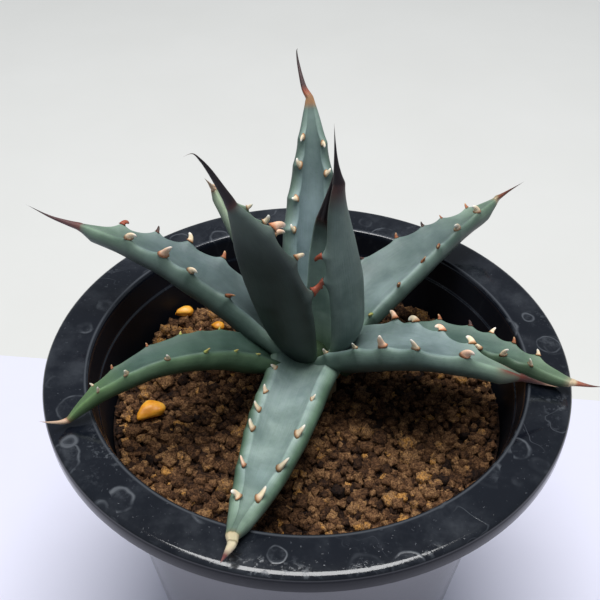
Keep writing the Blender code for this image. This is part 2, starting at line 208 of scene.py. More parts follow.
def band(tree, value, low, high, to_low=0.0, to_high=1.0):
    """Smoothly take value from low..high to to_low..to_high."""
    node = put(tree, "MapRange", {"Value": value, "From Min": low, "From Max": high,
                                  "To Min": to_low, "To Max": to_high}, interpolation_type='SMOOTHSTEP')
    return node.outputs["Result"]


def mix_colours(tree, factor, a, b, blend='MIX'):
    a, b = (colour if is_socket(colour) else (*colour, 1) for colour in (a, b))
    return put(tree, "Mix", {0: factor, 6: a, 7: b}, data_type='RGBA', blend_type=blend).outputs[2]


def tinted(tree, colour, shade):
    """A colour multiplied by another."""
    return mix_colours(tree, 1.0, colour, shade, 'MULTIPLY')


def ramp(tree, factor, *stops):
    """A colour ramp from (position, colour) stops."""
    node = put(tree, "ValToRGB", {"Fac": factor})
    elements = node.color_ramp.elements
    while len(elements) < len(stops):
        elements.new(1)
    for element, (position, colour) in zip(elements, stops):
        element.position = position
        element.color = (*colour, 1)
    return node.outputs["Color"]


def cloud(tree, coords, scale, detail=3.0, roughness=0.55, distortion=0.0):
    return put(tree, "TexNoise", {"Vector": coords, "Scale": scale, "Detail": detail,
                                  "Roughness": roughness, "Distortion": distortion}).outputs["Fac"]


def bump(tree, height, distance, strength=1.0, under=None):
    inputs = {"Height": height, "Distance": distance, "Strength": strength}
    if under is not None:
        inputs["Normal"] = under
    return put(tree, "Bump", inputs).outputs["Normal"]


def place_coords(tree):
    return put(tree, "TexCoord").outputs["Object"]

# %% [markdown]
# ## Pot: the finish
# The pot is injection-moulded black plastic. It is glossy, but it has been watered for months: drops dried on
# the rim and left rings, crusts and a haze of lime. A thin pale line on the rim near the mouth's edge is a
# painted highlight, mixed in with the lime. The rings are thin bands at a set distance from scattered centres,
# which is what a Voronoi texture measures. A noise bends them, and a second noise breaks them up, because no
# drop dries in a perfect circle. Lime settles only on what faces up, so the surface's normal decides where it
# lies. The normal also tells the outer wall, which mirrors the paper below it, from the duller inside.

# %% Black plastic with dried water marks
LIME = (0.30, 0.33, 0.37)
pot_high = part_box("pot")[1]
HIGHLIGHT_LINE_FROM_EDGE = 12.0 * MM          # the painted highlight line lies this far in from the outer edge


def drop_rings(tree, coords, scale, seed, wobble):
    """Thin bent rings round scattered centres, some missing, and the faint film inside them."""
    shifted = vector_of(tree, 'ADD', coords, (seed, seed * 0.37, 0))
    bend = put(tree, "TexNoise", {"Vector": shifted, "Scale": 160.0, "Detail": 2.0}).outputs["Color"]
    centred = vector_of(tree, 'SUBTRACT', bend, (0.5, 0.5, 0.5))
    small = put(tree, "VectorMath", {0: centred, 3: wobble}, operation='SCALE').outputs[0]
    flat = vector_of(tree, 'MULTIPLY', vector_of(tree, 'ADD', shifted, small), (1, 1, 0))
    cells = put(tree, "TexVoronoi", {"Vector": flat, "Scale": scale, "Randomness": 0.9})
    dice = put(tree, "SeparateColor", {0: cells.outputs["Color"]})
    size = band(tree, dice.outputs[0], 0.0, 1.0, 0.16, 0.40)
    ring = band(tree, distance_from(tree, cells.outputs["Distance"], size), 0.0, 0.036, 1.0, 0.0)
    inside = math_of(tree, 'LESS_THAN', cells.outputs["Distance"], size)
    exists = band(tree, dice.outputs[1], 0.25, 0.6)
    patchy = band(tree, cloud(tree, shifted, 130.0), 0.38, 0.62, 0.04, 0.46)
    film = times(tree, inside, band(tree, cloud(tree, shifted, 300.0, 4.0, 0.7), 0.4, 0.7, 0.0, 0.55))
    return times(tree, times(tree, most(tree, ring, film), exists), patchy)


def scale_lines(tree, coords, scale, width):
    """Wandering hairlines, where a film of water dried along its edge."""
    height = cloud(tree, coords, scale, 2.0, 0.6, 0.6)
    return band(tree, distance_from(tree, height, 0.5), 0.0, width, 1.0, 0.0)


def lime_marks(tree, coords):
    """All that dried on the plastic: rings, lines, specks, crusts and haze."""
    rings = [drop_rings(tree, coords, scale, seed, wobble)
             for scale, seed, wobble in ((58.0, 0.0, 0.0032), (80.0, 0.31, 0.0022), (66.0, 0.74, 0.0036))]
    lines = times(tree, scale_lines(tree, coords, 60.0, 0.010),
                  band(tree, cloud(tree, coords, 34.0), 0.5, 0.66, 0.0, 0.32))
    specks = band(tree, cloud(tree, coords, 1300.0, 2.0), 0.66, 0.78, 0.0, 0.30)
    crust = times(tree, band(tree, cloud(tree, coords, 420.0, 5.0, 0.7), 0.5, 0.66),
                  band(tree, cloud(tree, coords, 32.0, 2.0), 0.50, 0.70, 0.0, 0.6))
    haze = band(tree, cloud(tree, coords, 48.0, 5.0, 0.65), 0.44, 0.76, 0.0, 0.22)
    return most(tree, *rings, lines, specks, crust, haze)


def black_plastic():
    skin, tree, shader = new_skin("pot_black")
    coords = place_coords(tree)
    normal = put(tree, "NewGeometry").outputs["Normal"]
    upward = put(tree, "SeparateXYZ", {0: normal}).outputs["Z"]
    outward = vector_of(tree, 'DOT_PRODUCT', coords, normal, "Value")
    inner = band(tree, outward, -0.03, -0.015, 1.0, 0.0)
    sideways = band(tree, upward, 0.15, 0.5, 1.0, 0.0)
    settles = band(tree, upward, 0.3, 0.9, 0.10, 1.0)
    flat = vector_of(tree, 'MULTIPLY', coords, (1, 1, 0))
    reach = put(tree, "VectorMath", {0: flat}, operation='LENGTH').outputs["Value"]
    # Painted highlight: a thin pale line on the rim near the mouth's inner edge, mixed in with the lime.
    off_highlight_line = distance_from(tree, reach, pot_high.x - HIGHLIGHT_LINE_FROM_EDGE)
    mouth_highlight_line = band(tree, off_highlight_line, 0.0, 0.0006, 0.34, 0.0)
    lime_and_highlight = times(tree, most(tree, lime_marks(tree, coords), mouth_highlight_line), settles)
    black = mix_colours(tree, cloud(tree, coords, 25.0), (0.0030, 0.0036, 0.0062), (0.006, 0.008, 0.013))
    gloss = band(tree, lime_and_highlight, 0.0, 0.8, 0.11, 0.55)
    lip = times(tree, sideways, band(tree, reach, pot_high.x - 1.6 * MM, pot_high.x - 1.1 * MM))
    wall = times(tree, sideways, band(tree, outward, 0.02, 0.03, 0.0, 1.4))
    shine = math_of(tree, 'ADD', band(tree, inner, 0.0, 1.0, 0.5, 0.16), wall)
    grain = bump(tree, cloud(tree, coords, 700.0, 2.0), 0.00003, 0.5)
    feed(tree, shader, {
        "Base Color": mix_colours(tree, times(tree, lime_and_highlight, 0.45), black, LIME),
        "Specular IOR Level": times(tree, shine, band(tree, lip, 0.0, 1.0, 1.0, 0.07)),
        "Roughness": most(tree, gloss, times(tree, inner, 0.48)),
        "Normal": bump(tree, lime_and_highlight, 0.00008, 0.6, grain), "IOR": 1.56})
    return skin


POT_SKIN = black_plastic()
print("pot finish:", len(POT_SKIN.node_tree.nodes), "nodes")

# %% [markdown]
# ## Pot: the turned shape
# A nursery pot is one thin shell, the same all the way round: a tapered wall, a ledge inside the mouth for
# stacking, a flat flange and an outer edge that turns down. Such a shape is easiest as an outline that is
# spun about the axis. Every corner of the outline gets a small arc, since a moulded edge is never sharp, and
# it is those arcs that catch the long bright lines of light.

# %% Round the corners of an outline
def rounded(corners, steps=4):
    """Outline points from (radius, height, fillet) corners in millimetres, each fillet as a short arc."""
    places = [Vector((r, z)) for r, z, _ in corners]
    points = [places[0]]
    for before, corner, after, (_, _, fillet) in zip(places, places[1:], places[2:], corners[1:]):
        toward, away = (before - corner).normalized(), (after - corner).normalized()
        reach = min(fillet, 0.45 * (before - corner).length, 0.45 * (after - corner).length)
        start, end = corner + toward * reach, corner + away * reach
        for step in range(steps + 1):
            t = step / steps
            points.append(start.lerp(corner, t).lerp(corner.lerp(end, t), t))
    return points + [places[-1]]


def turn(points, segments, name):
    """Spin outline points (radius, height in millimetres) about the axis into a closed shell."""
    deselect()
    bpy.ops.mesh.primitive_circle_add(vertices=3, radius=0.01)
    thing = bpy.context.object
    thing.name = name
    bpy.ops.object.mode_set(mode='EDIT')
    bpy.ops.mesh.select_all(action='SELECT')
    bpy.ops.mesh.delete(type='VERT')
    bpy.ops.object.mode_set(mode='OBJECT')
    edges = [(i, i + 1) for i in range(len(points) - 1)]
    thing.data.from_pydata([(p.x * MM, 0, p.y * MM) for p in points], edges, [])
    bpy.ops.object.mode_set(mode='EDIT')
    bpy.ops.mesh.select_all(action='SELECT')
    bpy.ops.mesh.spin(steps=segments, angle=math.tau, center=(0, 0, 0), axis=(0, 0, 1))
    bpy.ops.object.mode_set(mode='OBJECT')
    close_and_face_outwards(thing, 0.000005)
    return thing

# %% The pot's outline, from the frame's sizes
RIM = pot_high.x / MM               # millimetres, like all sizes of the outline
TOP = pot_high.z / MM
MOUTH = RIM - 12.6
WALL = 1.4
FLOOR = 2.2
TAPER = 0.139                       # inward for each millimetre down
LEDGE = 8.0                         # how far the stacking ledge lies below the rim


def wall_radius(depth):
    """Outside radius of the tapered wall, in millimetres, at a depth below the rim."""
    return MOUTH + 0.1 - TAPER * depth


outline = rounded((
    (0, FLOOR, 0),
    (wall_radius(TOP) - WALL, FLOOR, 2.0),
    (wall_radius(LEDGE) - WALL, TOP - LEDGE - 0.6, 0.3),
    (wall_radius(LEDGE) - WALL + 0.6, TOP - LEDGE, 0.3),
    (MOUTH - 0.6, TOP - 1.3, 0.6),
    (MOUTH, TOP, 0.7),
    (RIM, TOP, 2.2),
    (RIM - 0.3, TOP - 6, 0.5),
    (RIM - 1.7, TOP - 6, 0.4),
    (RIM - 2.0, TOP - 1.8, 0.6),
    (wall_radius(0) + 1.4, TOP - 1.8, 0.8),
    (wall_radius(LEDGE) + 0.6, TOP - LEDGE - WALL, 0.3),
    (wall_radius(LEDGE), TOP - LEDGE - 2 * WALL, 0.3),
    (wall_radius(TOP), 0, 1.5),
    (0, 0, 0),
))
pot = turn(outline, 160, "pot_shell")
print("pot outline:", len(outline), "points; height", TOP, "mm, rim radius", round(RIM, 1), "mm")

# %% [markdown]
# Water leaves through eight slots in the floor that point at the middle. One round-ended slot is a cylinder
# whose two halves are moved apart. It is copied round, and all eight are cut out with one Boolean.

# %% Cut the drain slots
SLOT_COUNT = 8


def slot_cutter():
    deselect()
    bpy.ops.mesh.primitive_cylinder_add(vertices=24, radius=1.7 * MM, depth=8 * MM, location=(27 * MM, 0, 0))
    cutter = bpy.context.object
    select_where(cutter, lambda place: place.x > 0)
    bpy.ops.transform.translate(value=(4.3 * MM, 0, 0))
    select_where(cutter, lambda place: place.x < 0)
    bpy.ops.transform.translate(value=(-4.3 * MM, 0, 0))
    place_in_mesh(cutter)
    return cutter


slots = [slot_cutter()]
for index in range(1, SLOT_COUNT):
    slots.append(copy_of(slots[0]))
    slots[-1].rotation_euler.z = math.tau * index / SLOT_COUNT
    place_in_mesh(slots[-1])
slots = join(slots, "drain_slots")
cut = pot.modifiers.new("drain", 'BOOLEAN')
cut.operation = 'DIFFERENCE'
cut.solver = 'EXACT'
cut.object = slots
apply_modifier(pot, cut)
bpy.data.objects.remove(slots)
activate(pot)
bpy.ops.object.shade_smooth_by_angle(angle=math.radians(35))
finish_piece(pot, "pot_shell", POT_SKIN, "pot_black", "pot")

# %% [markdown]
# ## Drain net
# A black moulded net lies on the floor and keeps the grit in. It is hardly seen, so its CAD shape stays and
# only its finish is new: dull plastic with grit dust on it.

# %% Net finish
def dusty_net():
    skin, tree, shader = new_skin("net_black")
    coords = place_coords(tree)
    dust = band(tree, cloud(tree, coords, 220.0, 4.0), 0.45, 0.7)
    feed(tree, shader, {
        "Base Color": mix_colours(tree, dust, (0.012, 0.012, 0.013), (0.09, 0.055, 0.035)),
        "Roughness": band(tree, dust, 0.0, 1.0, 0.4, 0.9),
        "Normal": bump(tree, dust, 0.0001)})
    return skin


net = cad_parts["drain_net"]
wear(net, dusty_net())
print("drain net:", len(net.data.polygons), "faces, with its new finish")

# %% [markdown]
# ## Grit: the finish
# The grit is baked brown loam in grains of about two to four millimetres. Each grain is a crumb with its own
# tone, from dark wet brown to dry tan, and a rough, pitted skin. One material covers them all: a number stored
# on every grain picks its tone from a ramp, and noises mottle it, pit it and roughen it. The number is low on
# the filling and on the lowest layer, as painted shade in the gaps, and the pits are darkened as painted shade
# in the dents.

# %% Grit material
def baked_loam():
    skin, tree, shader = new_skin("grit_brown")
    coords = place_coords(tree)
    tone = put(tree, "Attribute", attribute_name="tone").outputs["Fac"]
    mottle = band(tree, cloud(tree, coords, 900.0, 4.0, 0.7), 0.3, 0.7, -0.2, 0.2)
    mottled = math_of(tree, 'ADD', tone, mottle)
    colour = ramp(tree, mottled, (0.0, (0.014, 0.006, 0.004)), (0.3, (0.052, 0.023, 0.010)),
                  (0.6, (0.175, 0.084, 0.036)), (0.85, (0.36, 0.20, 0.088)), (1.0, (0.55, 0.27, 0.07)))
    pits = cloud(tree, coords, 2200.0, 3.0, 0.7)
    # Painted shade: the pits, which the bump dents, are darkened.
    pit_shade = mix_colours(tree, band(tree, pits, 0.35, 0.6), (0.28, 0.24, 0.22), (1.1, 1.1, 1.1))
    coarse = bump(tree, cloud(tree, coords, 1300.0, 3.0, 0.7), 0.0007, 0.95)
    feed(tree, shader, {
        "Base Color": tinted(tree, colour, pit_shade),
        "Roughness": band(tree, pits, 0.3, 0.7, 1.0, 0.72),
        "Normal": bump(tree, pits, 0.0003, 0.9, coarse), "Specular IOR Level": 0.25})
    return skin


GRIT_SKIN = baked_loam()
print("grit finish:", len(GRIT_SKIN.node_tree.nodes), "nodes")

# %% [markdown]
# ## Grit: the filling and its top grains
# The filling is one turned body that reaches down to the net. It is dark, as painted shade for the gaps where
# it shows. Its top lies a little low, and loose grains cover it in three layers: a close one, dark as painted
# shade between the grains, a paler one with gaps, and a few big grains on top. Six grains are modelled from a
# cube that is divided, rounded and dented by noise. Copies of them are laid on a shaken honeycomb grid, each
# turned, stretched and toned by a seeded draw.

# %% The filling
GRIT_TOP = TOP - 22.0
STEM_X, STEM_Y = 2.0, 7.0
FILLING_SHADE_TONE = 0.12                 # painted shade: dark, since it shows only in the shaded gaps between grains
grit_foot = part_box("grit")[0].z / MM


def inside_radius(depth):
    return wall_radius(depth) - WALL - 0.4


filling_outline = [Vector((0, grit_foot)), Vector((inside_radius(TOP - 4), grit_foot))]
for step in range(12, -1, -1):
    filling_outline.append(Vector((inside_radius(TOP - GRIT_TOP) * step / 12, GRIT_TOP)))
filling = turn(filling_outline, 72, "grit_filling")
for vertex in filling.data.vertices:
    if vertex.co.z > (GRIT_TOP - 1) * MM:
        vertex.co.z += 0.7 * MM * noise.noise(vertex.co * 140)
tone = filling.data.attributes.new("tone", 'FLOAT', 'POINT')
tone.data.foreach_set("value", [FILLING_SHADE_TONE] * len(filling.data.vertices))
print("filling: from", round(grit_foot, 1), "to", round(GRIT_TOP, 1), "mm up")

# %% Six grains to copy
GRAIN_MODELS = 6


def grain_model(number):
    deselect()
    bpy.ops.mesh.primitive_cube_add(size=1)
    grain = bpy.context.object
    bpy.ops.object.mode_set(mode='EDIT')
    bpy.ops.mesh.select_all(action='SELECT')
    bpy.ops.mesh.subdivide(number_cuts=2)
    bpy.ops.object.mode_set(mode='OBJECT')
    round_off = grain.modifiers.new("round", 'CAST')
    round_off.factor = 0.8
    round_off.size = 0.5
    round_off.radius = 0.62
    apply_modifier(grain, round_off)
    for vertex in grain.data.vertices:
        push = noise.noise(vertex.co * 2.7 + Vector((number * 7.3, 0, 0)))
        vertex.co *= 1 + 0.40 * push
    return grain


grain_shapes = [grain_model(number) for number in range(GRAIN_MODELS)]
grain_points = [np.array([v.co for v in grain.data.vertices]) for grain in grain_shapes]
grain_faces = [np.array([p.vertices for p in grain.data.polygons]) for grain in grain_shapes]
for grain in grain_shapes:
    bpy.data.objects.remove(grain)
print("one grain has", len(grain_faces[0]), "faces")

# %% Lay the grains
ROW_STEP = 0.866                    # between a honeycomb's rows, as a share of its spacing
STEM_ROOM = 9.5                     # millimetres round the stem without grains
BRIGHT_SHARE = 0.012                # how many grains are the brightest tone
# The lowest layer's usual tone is dark as painted shade in the gaps under the paler grains.
#         spacing, shake, share kept, height, smallest and largest, usual tone
LAYERS = ((2.05, 0.45, 1.0, GRIT_TOP + 0.7, (1.8, 2.5), 0.26),
          (2.2, 0.7, 0.84, GRIT_TOP + 2.1, (1.5, 2.7), 0.56),
          (6.0, 2.6, 0.55, GRIT_TOP + 2.8, (2.6, 3.6), 0.60))


def honeycomb(spacing, shake, draw, radius):
    """Places on a shaken honeycomb grid inside a circle, leaving room for the stem."""
    rows = int(radius / (spacing * ROW_STEP)) + 1
    for row in range(-rows, rows + 1):
        for column in range(-rows, rows + 1):
            x = (column + 0.5 * (row % 2)) * spacing + draw.uniform(-shake, shake)
            y = row * spacing * ROW_STEP + draw.uniform(-shake, shake)
            if math.hypot(x, y) < radius and math.hypot(x - STEM_X, y - STEM_Y) > STEM_ROOM:
                yield x, y


def one_grain(draw, x, y, height, sizes, usual_tone):
    """A grain's shape number, matrix and tone."""
    size = draw.uniform(*sizes)
    stretch = Matrix.Diagonal((size * draw.uniform(0.85, 1.15), size * draw.uniform(0.75, 1.0),
                               size * draw.uniform(0.65, 0.95), 1))
    spin = Matrix.Rotation(draw.uniform(0, math.tau), 4, 'Z')
    tilt = Matrix.Rotation(draw.gauss(0, 0.45), 4, 'X')
    swell = 0.7 * noise.noise(Vector((x, y, 0)) * 0.07)
    place = Matrix.Translation((x, y, height + swell + draw.uniform(-0.65, 0.65)))
    tone_value = min(max(draw.gauss(usual_tone, 0.19), 0.04), 0.90)
    if draw.random() < BRIGHT_SHARE:
        tone_value = 1.0
    return draw.randrange(GRAIN_MODELS), Matrix.Scale(MM, 4) @ place @ spin @ tilt @ stretch, tone_value


def lay_grains():
    """All grains, the lowest layer first."""
    draw = random.Random(11)
    grains = []
    for spacing, shake, kept, *what in LAYERS:
        for x, y in honeycomb(spacing, shake, draw, inside_radius(TOP - GRIT_TOP) - 1.6):
            if draw.random() <= kept:
                grains.append(one_grain(draw, x, y, *what))
    return grains


def grains_to_mesh(grains, name):
    """One mesh from many copies of the modelled grains, each with its tone."""
    points, faces, tones, start = [], [], [], 0
    for shape, matrix, value in grains:
        m = np.array(matrix)
        moved = grain_points[shape] @ m[:3, :3].T + m[:3, 3]
        points.append(moved)
        faces.append(grain_faces[shape] + start)
        tones.append(np.full(len(moved), value))
        start += len(moved)
    thing = thing_from(name, np.concatenate(points), np.concatenate(faces).tolist())
    tone = thing.data.attributes.new("tone", 'FLOAT', 'POINT')
    tone.data.foreach_set("value", np.concatenate(tones))
    thing.data.shade_smooth()
    return thing


all_grains = lay_grains()
finish_piece(filling, "grit_filling", GRIT_SKIN, "grit_brown", "grit")
SHARES = 6


def share_of(grain):
    """In which of the equal sectors round the axis a grain lies, counted from 0."""
    place = grain[1].translation
    return int((math.atan2(place.y, place.x) / math.tau % 1) * SHARES)


for share in range(SHARES):
    name = "grit_grains_%d" % (share + 1)
    some = [grain for grain in all_grains if share_of(grain) == share]
    finish_piece(grains_to_mesh(some, name), name, GRIT_SKIN, "grit_brown")
print("grains laid:", len(all_grains))

# %% [markdown]
# ## Pebbles
# Three worn amber pebbles lie on the grit, each drawn out on one side into a blunt nose. A pebble is waxy:
# light goes in a little way and comes out warmer, so the finish has a touch of subsurface scattering.

# %% Pebble material
def amber_stone():
    skin, tree, shader = new_skin("pebble_amber")
    coords = place_coords(tree)
    feed(tree, shader, {
        "Base Color": ramp(tree, cloud(tree, coords, 260.0, 4.0), (0.3, (0.60, 0.20, 0.010)),
                           (0.5, (0.82, 0.34, 0.020)), (0.72, (0.95, 0.52, 0.08))),
        "Roughness": band(tree, cloud(tree, coords, 900.0), 0.3, 0.7, 0.38, 0.62),
        "Normal": bump(tree, cloud(tree, coords, 700.0, 4.0), 0.0002, 0.5),
        "Subsurface Weight": 0.15, "Subsurface Radius": (1.0, 0.4, 0.1), "Subsurface Scale": 0.0015})
    return skin


PEBBLE_SKIN = amber_stone()
print("pebble finish:", len(PEBBLE_SKIN.node_tree.nodes), "nodes")


# %% The pebbles
def pebble(name, turn_by, nose):
    """A stone in the CAD pebble's box: a ball, dented by noise, with one side drawn out into a nose."""
    low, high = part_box(name)
    deselect()
    bpy.ops.mesh.primitive_ico_sphere_add(subdivisions=4, radius=0.5)
    stone = bpy.context.object
    for vertex in stone.data.vertices:
        here = vertex.co.copy()
        here *= 1 + 0.16 * noise.noise(here * 2.6 + low * 90)
        reach = max(0.0, -here.x)
        here.x -= nose * reach * reach * 1.3
        here.y *= 1 - 0.9 * nose * reach
        here.y -= nose * reach * reach * 1.3
        vertex.co = here
    stone.rotation_euler.z = math.radians(turn_by)
    place_in_mesh(stone)
    stone.scale = [h - l for l, h in zip(low, high)]
    stone.location = (low + high) / 2
    place_in_mesh(stone)
    stone.data.shade_smooth()
    return finish_piece(stone, name + "_stone", PEBBLE_SKIN, "pebble_amber", name)


pebble("pebble_front_left", 28, 0.9)
pebble("pebble_back_left", 10, 0.6)
pebble("pebble_back_left_small", -15, 0.2)

# %% [markdown]
# ## Stem and roots
# The short stem and its roots are deep in the grit, and only a sliver of the stem shows from the side. A copy
# of the CAD mesh is merged and subdivided, and its finish wrinkles it, which is enough for a corky stem. At
# the top, where the leaves grow out, it is green.

# %% Corky stem
def corky_stem():
    skin, tree, shader = new_skin("stem_pale")
    coords = place_coords(tree)
    drawn = put(tree, "Mapping", {"Vector": coords, "Scale": (1, 1, 0.25)}).outputs[0]
    fibres = cloud(tree, drawn, 600.0, 4.0, 0.65)
    colour = ramp(tree, fibres, (0.3, (0.12, 0.07, 0.035)), (0.55, (0.33, 0.24, 0.12)),
                  (0.8, (0.50, 0.42, 0.26)))
    height = put(tree, "SeparateXYZ", {0: coords}).outputs["Z"]
    crown = band(tree, height, (TOP - 15) * MM, (TOP - 9) * MM)
    feed(tree, shader, {
        "Base Color": mix_colours(tree, crown, colour, (0.045, 0.085, 0.035)),
        "Roughness": band(tree, fibres, 0.3, 0.7, 0.9, 0.65),
        "Normal": bump(tree, fibres, 0.0005, 0.8)})
    return skin


stem = copy_of(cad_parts["stem_and_roots"])
stem.parent = None
for key in list(stem.keys()):
    del stem[key]
close_and_face_outwards(stem, 0.00001)
smoother = stem.modifiers.new("smoother", 'SUBSURF')
smoother.levels = 2
smoother.render_levels = 2
apply_modifier(stem, smoother)
stem.data.shade_smooth()
finish_piece(stem, "stem_corky", corky_stem(), "stem_pale", "stem_and_roots")

# %% [markdown]
# ## Leaves: the finish
# An agave leaf is firm flesh under a skin with a powdery wax bloom, which is why it looks blue-grey and not
# green. The bloom is uneven: it is thick in some places and rubbed off in others. The base colour is painted
# on each leaf's vertices when it is shaped, since the shape's own maths knows where the tip, the crests and
# the horn are. The material adds what is finer than the mesh: clouds in the bloom, which multiply the colour
# and so make it paler and bluer, faint veins along the leaf, and speckles. Spines and teeth are horn and have
# no bloom, so a stored number takes it away there and sets their roughness.

# %% Leaf material
def leaf_skin(name, bloom, bloom_share):
    skin, tree, shader = new_skin(name)
    coords = place_coords(tree)
    tint = put(tree, "Attribute", attribute_name="tint").outputs["Color"]
    horn = put(tree, "Attribute", attribute_name="horn").outputs["Fac"]
    flesh = math_of(tree, 'SUBTRACT', 1.0, horn, clamp=True)
    along = put(tree, "UVMap", uv_map="UVMap").outputs["UV"]
    veins_at = put(tree, "Mapping", {"Vector": along, "Scale": (46, 2.2, 1)}).outputs[0]
    veins = cloud(tree, veins_at, 3.0, 3.0, 0.6)
    clouds = cloud(tree, coords, 75.0, 5.0, 0.62, 0.3)
    speckle = cloud(tree, coords, 1500.0, 2.0, 0.6)
    shade = mix_colours(tree, band(tree, clouds, 0.32, 0.68), (0.70, 0.74, 0.75), (1.16, 1.14, 1.13))
    vein_shade = mix_colours(tree, band(tree, veins, 0.3, 0.7), (0.93, 0.95, 0.93), (1.05, 1.04, 1.05))
    colour = tinted(tree, tinted(tree, tint, shade), vein_shade)
    wax = times(tree, band(tree, cloud(tree, coords, 38.0, 4.0, 0.6), 0.38, 0.66), flesh)
    colour = mix_colours(tree, times(tree, wax, bloom_share), colour, tinted(tree, colour, bloom))
    dots = mix_colours(tree, band(tree, speckle, 0.60, 0.74), (1.0, 1.0, 1.0), (0.86, 0.88, 0.86))
    skin_roughness = band(tree, clouds, 0.3, 0.7, 0.46, 0.6)
    veined = bump(tree, veins, 0.00012, 0.6)
    feed(tree, shader, {
        "Base Color": mix_colours(tree, flesh, colour, tinted(tree, colour, dots)),
        "Roughness": put(tree, "Mix", {0: horn, 2: skin_roughness, 3: 0.46}, data_type='FLOAT').outputs[0],
        "Normal": bump(tree, speckle, 0.00004, 0.5, veined), "Specular IOR Level": 0.38,
        "Subsurface Weight": 0.06, "Subsurface Radius": (0.5, 1.0, 0.4), "Subsurface Scale": 0.0015})
    return skin


#                           the bloom's tint, and how much of it there is
LEAF_SKINS = {name: leaf_skin(name, bloom, bloom_share) for name, bloom, bloom_share in (
    ("leaf_glaucous", (1.50, 1.46, 1.56), 0.7),
    ("leaf_green", (1.45, 1.40, 1.50), 0.6),
    ("leaf_shaded", (1.60, 1.55, 1.62), 0.7))}
print("leaf finishes:", ", ".join(LEAF_SKINS))

# %% [markdown]
# ## Leaves: the shape
# Every leaf is a fleshy blade: hollowed along its upper face, keeled underneath, with a rounded crest
# on each side that carries the teeth, and a spine at its end that is one piece with it. No modifier knows
# that shape, so a flat grid is wrapped round it: the grid's short way goes round the leaf, its long way
# runs from foot to spine point. The centre line is a curve through the same guide points as the CAD leaf, so
# both follow the same path. The grid brings its UV map with it, which the veins use.

# %% Centre lines and directions
CROWN = np.array([STEM_X, STEM_Y, TOP])
ALONG, AROUND = 150, 60             # rows along the blade, and points round it
SPINE_ROWS = 36
ROW_COUNT = ALONG + SPINE_ROWS


def leaf_axes(heading):
    """The level directions ahead and to the left of a leaf's heading in degrees."""
    angle = math.radians(heading)
    return np.array([math.cos(angle), math.sin(angle), 0]), np.array([-math.sin(angle), math.cos(angle), 0])


def leaf_points(heading, guides):
    """Places in millimetres from (out, up, sway) guides."""
    ahead, left = leaf_axes(heading)
    return np.array([CROWN + ahead * out + left * sway + np.array([0, 0, up]) for out, up, sway in guides])


def bezier(points, t):
    a, b, c, d = points
    t = t[:, None]
    return a * (1 - t) ** 3 + 3 * b * t * (1 - t) ** 2 + 3 * c * t * t * (1 - t) + d * t ** 3


def spline(a, b, c, d, f):
    """From b to c as f goes from 0 to 1, on a smooth curve through all four."""
    return 0.5 * (2 * b + (c - a) * f + (2 * a - 5 * b + 4 * c - d) * f ** 2
                  + (3 * b - a - 3 * c + d) * f ** 3)


def through(points, t):
    """A smooth curve through all the points, t from 0 at the second to 1 at the last."""
    points = np.vstack([points, 2 * points[-1] - points[-2]])
    spans = len(points) - 3
    place = np.clip(t * spans, 0, spans - 1e-9)
    span = place.astype(int)
    return spline(*(points[span + i] for i in range(4)), (place - span)[:, None])


def leaf_rows(leaf):
    """For every row: its place, the directions across and above, and t (0 to 1 on the blade, then to 2)."""
    guides = leaf_points(leaf["heading"], zip(leaf["out"], leaf["up"], (0,) + leaf["sway"]))
    t_blade = np.arange(ALONG + 1) / ALONG
    t_spine = np.arange(1, SPINE_ROWS + 1) / SPINE_ROWS
    blade = bezier(guides, t_blade)
    tail = leaf_points(leaf["heading"], leaf["spine"])
    spine = through(np.vstack([blade[-7:-6], blade[-1:], tail]), t_spine)
    centre = np.vstack([blade, spine])
    slope = np.gradient(centre, axis=0)
    slope[1:-1] += 0.5 * (slope[2:] + slope[:-2])
    slope /= np.linalg.norm(slope, axis=1)[:, None]
    left = leaf_axes(leaf["heading"])[1]
    across = left - slope * (slope @ left)[:, None]
    across /= np.linalg.norm(across, axis=1)[:, None]
    t = np.concatenate([t_blade, 1 + t_spine])
    roll = np.radians(leaf["roll"][0] + (leaf["roll"][1] - leaf["roll"][0]) * np.minimum(t, 1))[:, None]
    across = across * np.cos(roll) + np.cross(slope, across) * np.sin(roll)
    return centre, across, np.cross(slope, across), t

# %% [markdown]
# The cross-section is drawn once for one side, as points from the middle of the upper face, over the crest
# and round to the keel. A smooth curve goes through them. Widths are shares of the leaf's half width, and
# heights are shares of the channel's depth and of the whole depth, so one drawing fits the leaf all along.

# %% The cross-section
#                (share of crest width, share beyond the crest, channel share, depth share)
SECTION = np.array((
    (0.00, 0.00, 1.00, 0.00), (0.30, 0.00, 0.93, 0.00), (0.60, 0.00, 0.66, 0.00), (0.86, 0.00, 0.22, 0.00),
    (1.00, 0.00, 0.00, 0.00), (1.00, 0.74, 0.00, 0.09), (1.00, 1.00, 0.00, 0.28), (0.96, 1.00, 0.00, 0.50),
    (0.80, 0.80, 0.00, 0.73), (0.45, 0.45, 0.00, 0.93), (0.00, 0.00, 0.00, 1.00)))
SPANS = len(SECTION) - 1
CREST_AT = 4 / SPANS


def half_section(s, half, crest, channel, depth):
    """Across and above for s from 0 at the upper middle to 1 at the keel. The other inputs go row by row."""
    x = SECTION[:, 0, None] * crest * half + SECTION[:, 1, None] * (1 - crest) * half
    y = -SECTION[:, 2, None] * channel - SECTION[:, 3, None] * depth
    x = np.vstack([-x[1], x, -x[-2]])
    y = np.vstack([y[1], y, y[-2]])
    place = np.clip(s * SPANS, 0, SPANS - 1e-6)
    span = place.astype(int)
    rows = np.arange(len(s))
    return [spline(*(v[span + i, rows] for i in range(4)), place - span) for v in (x, y)]


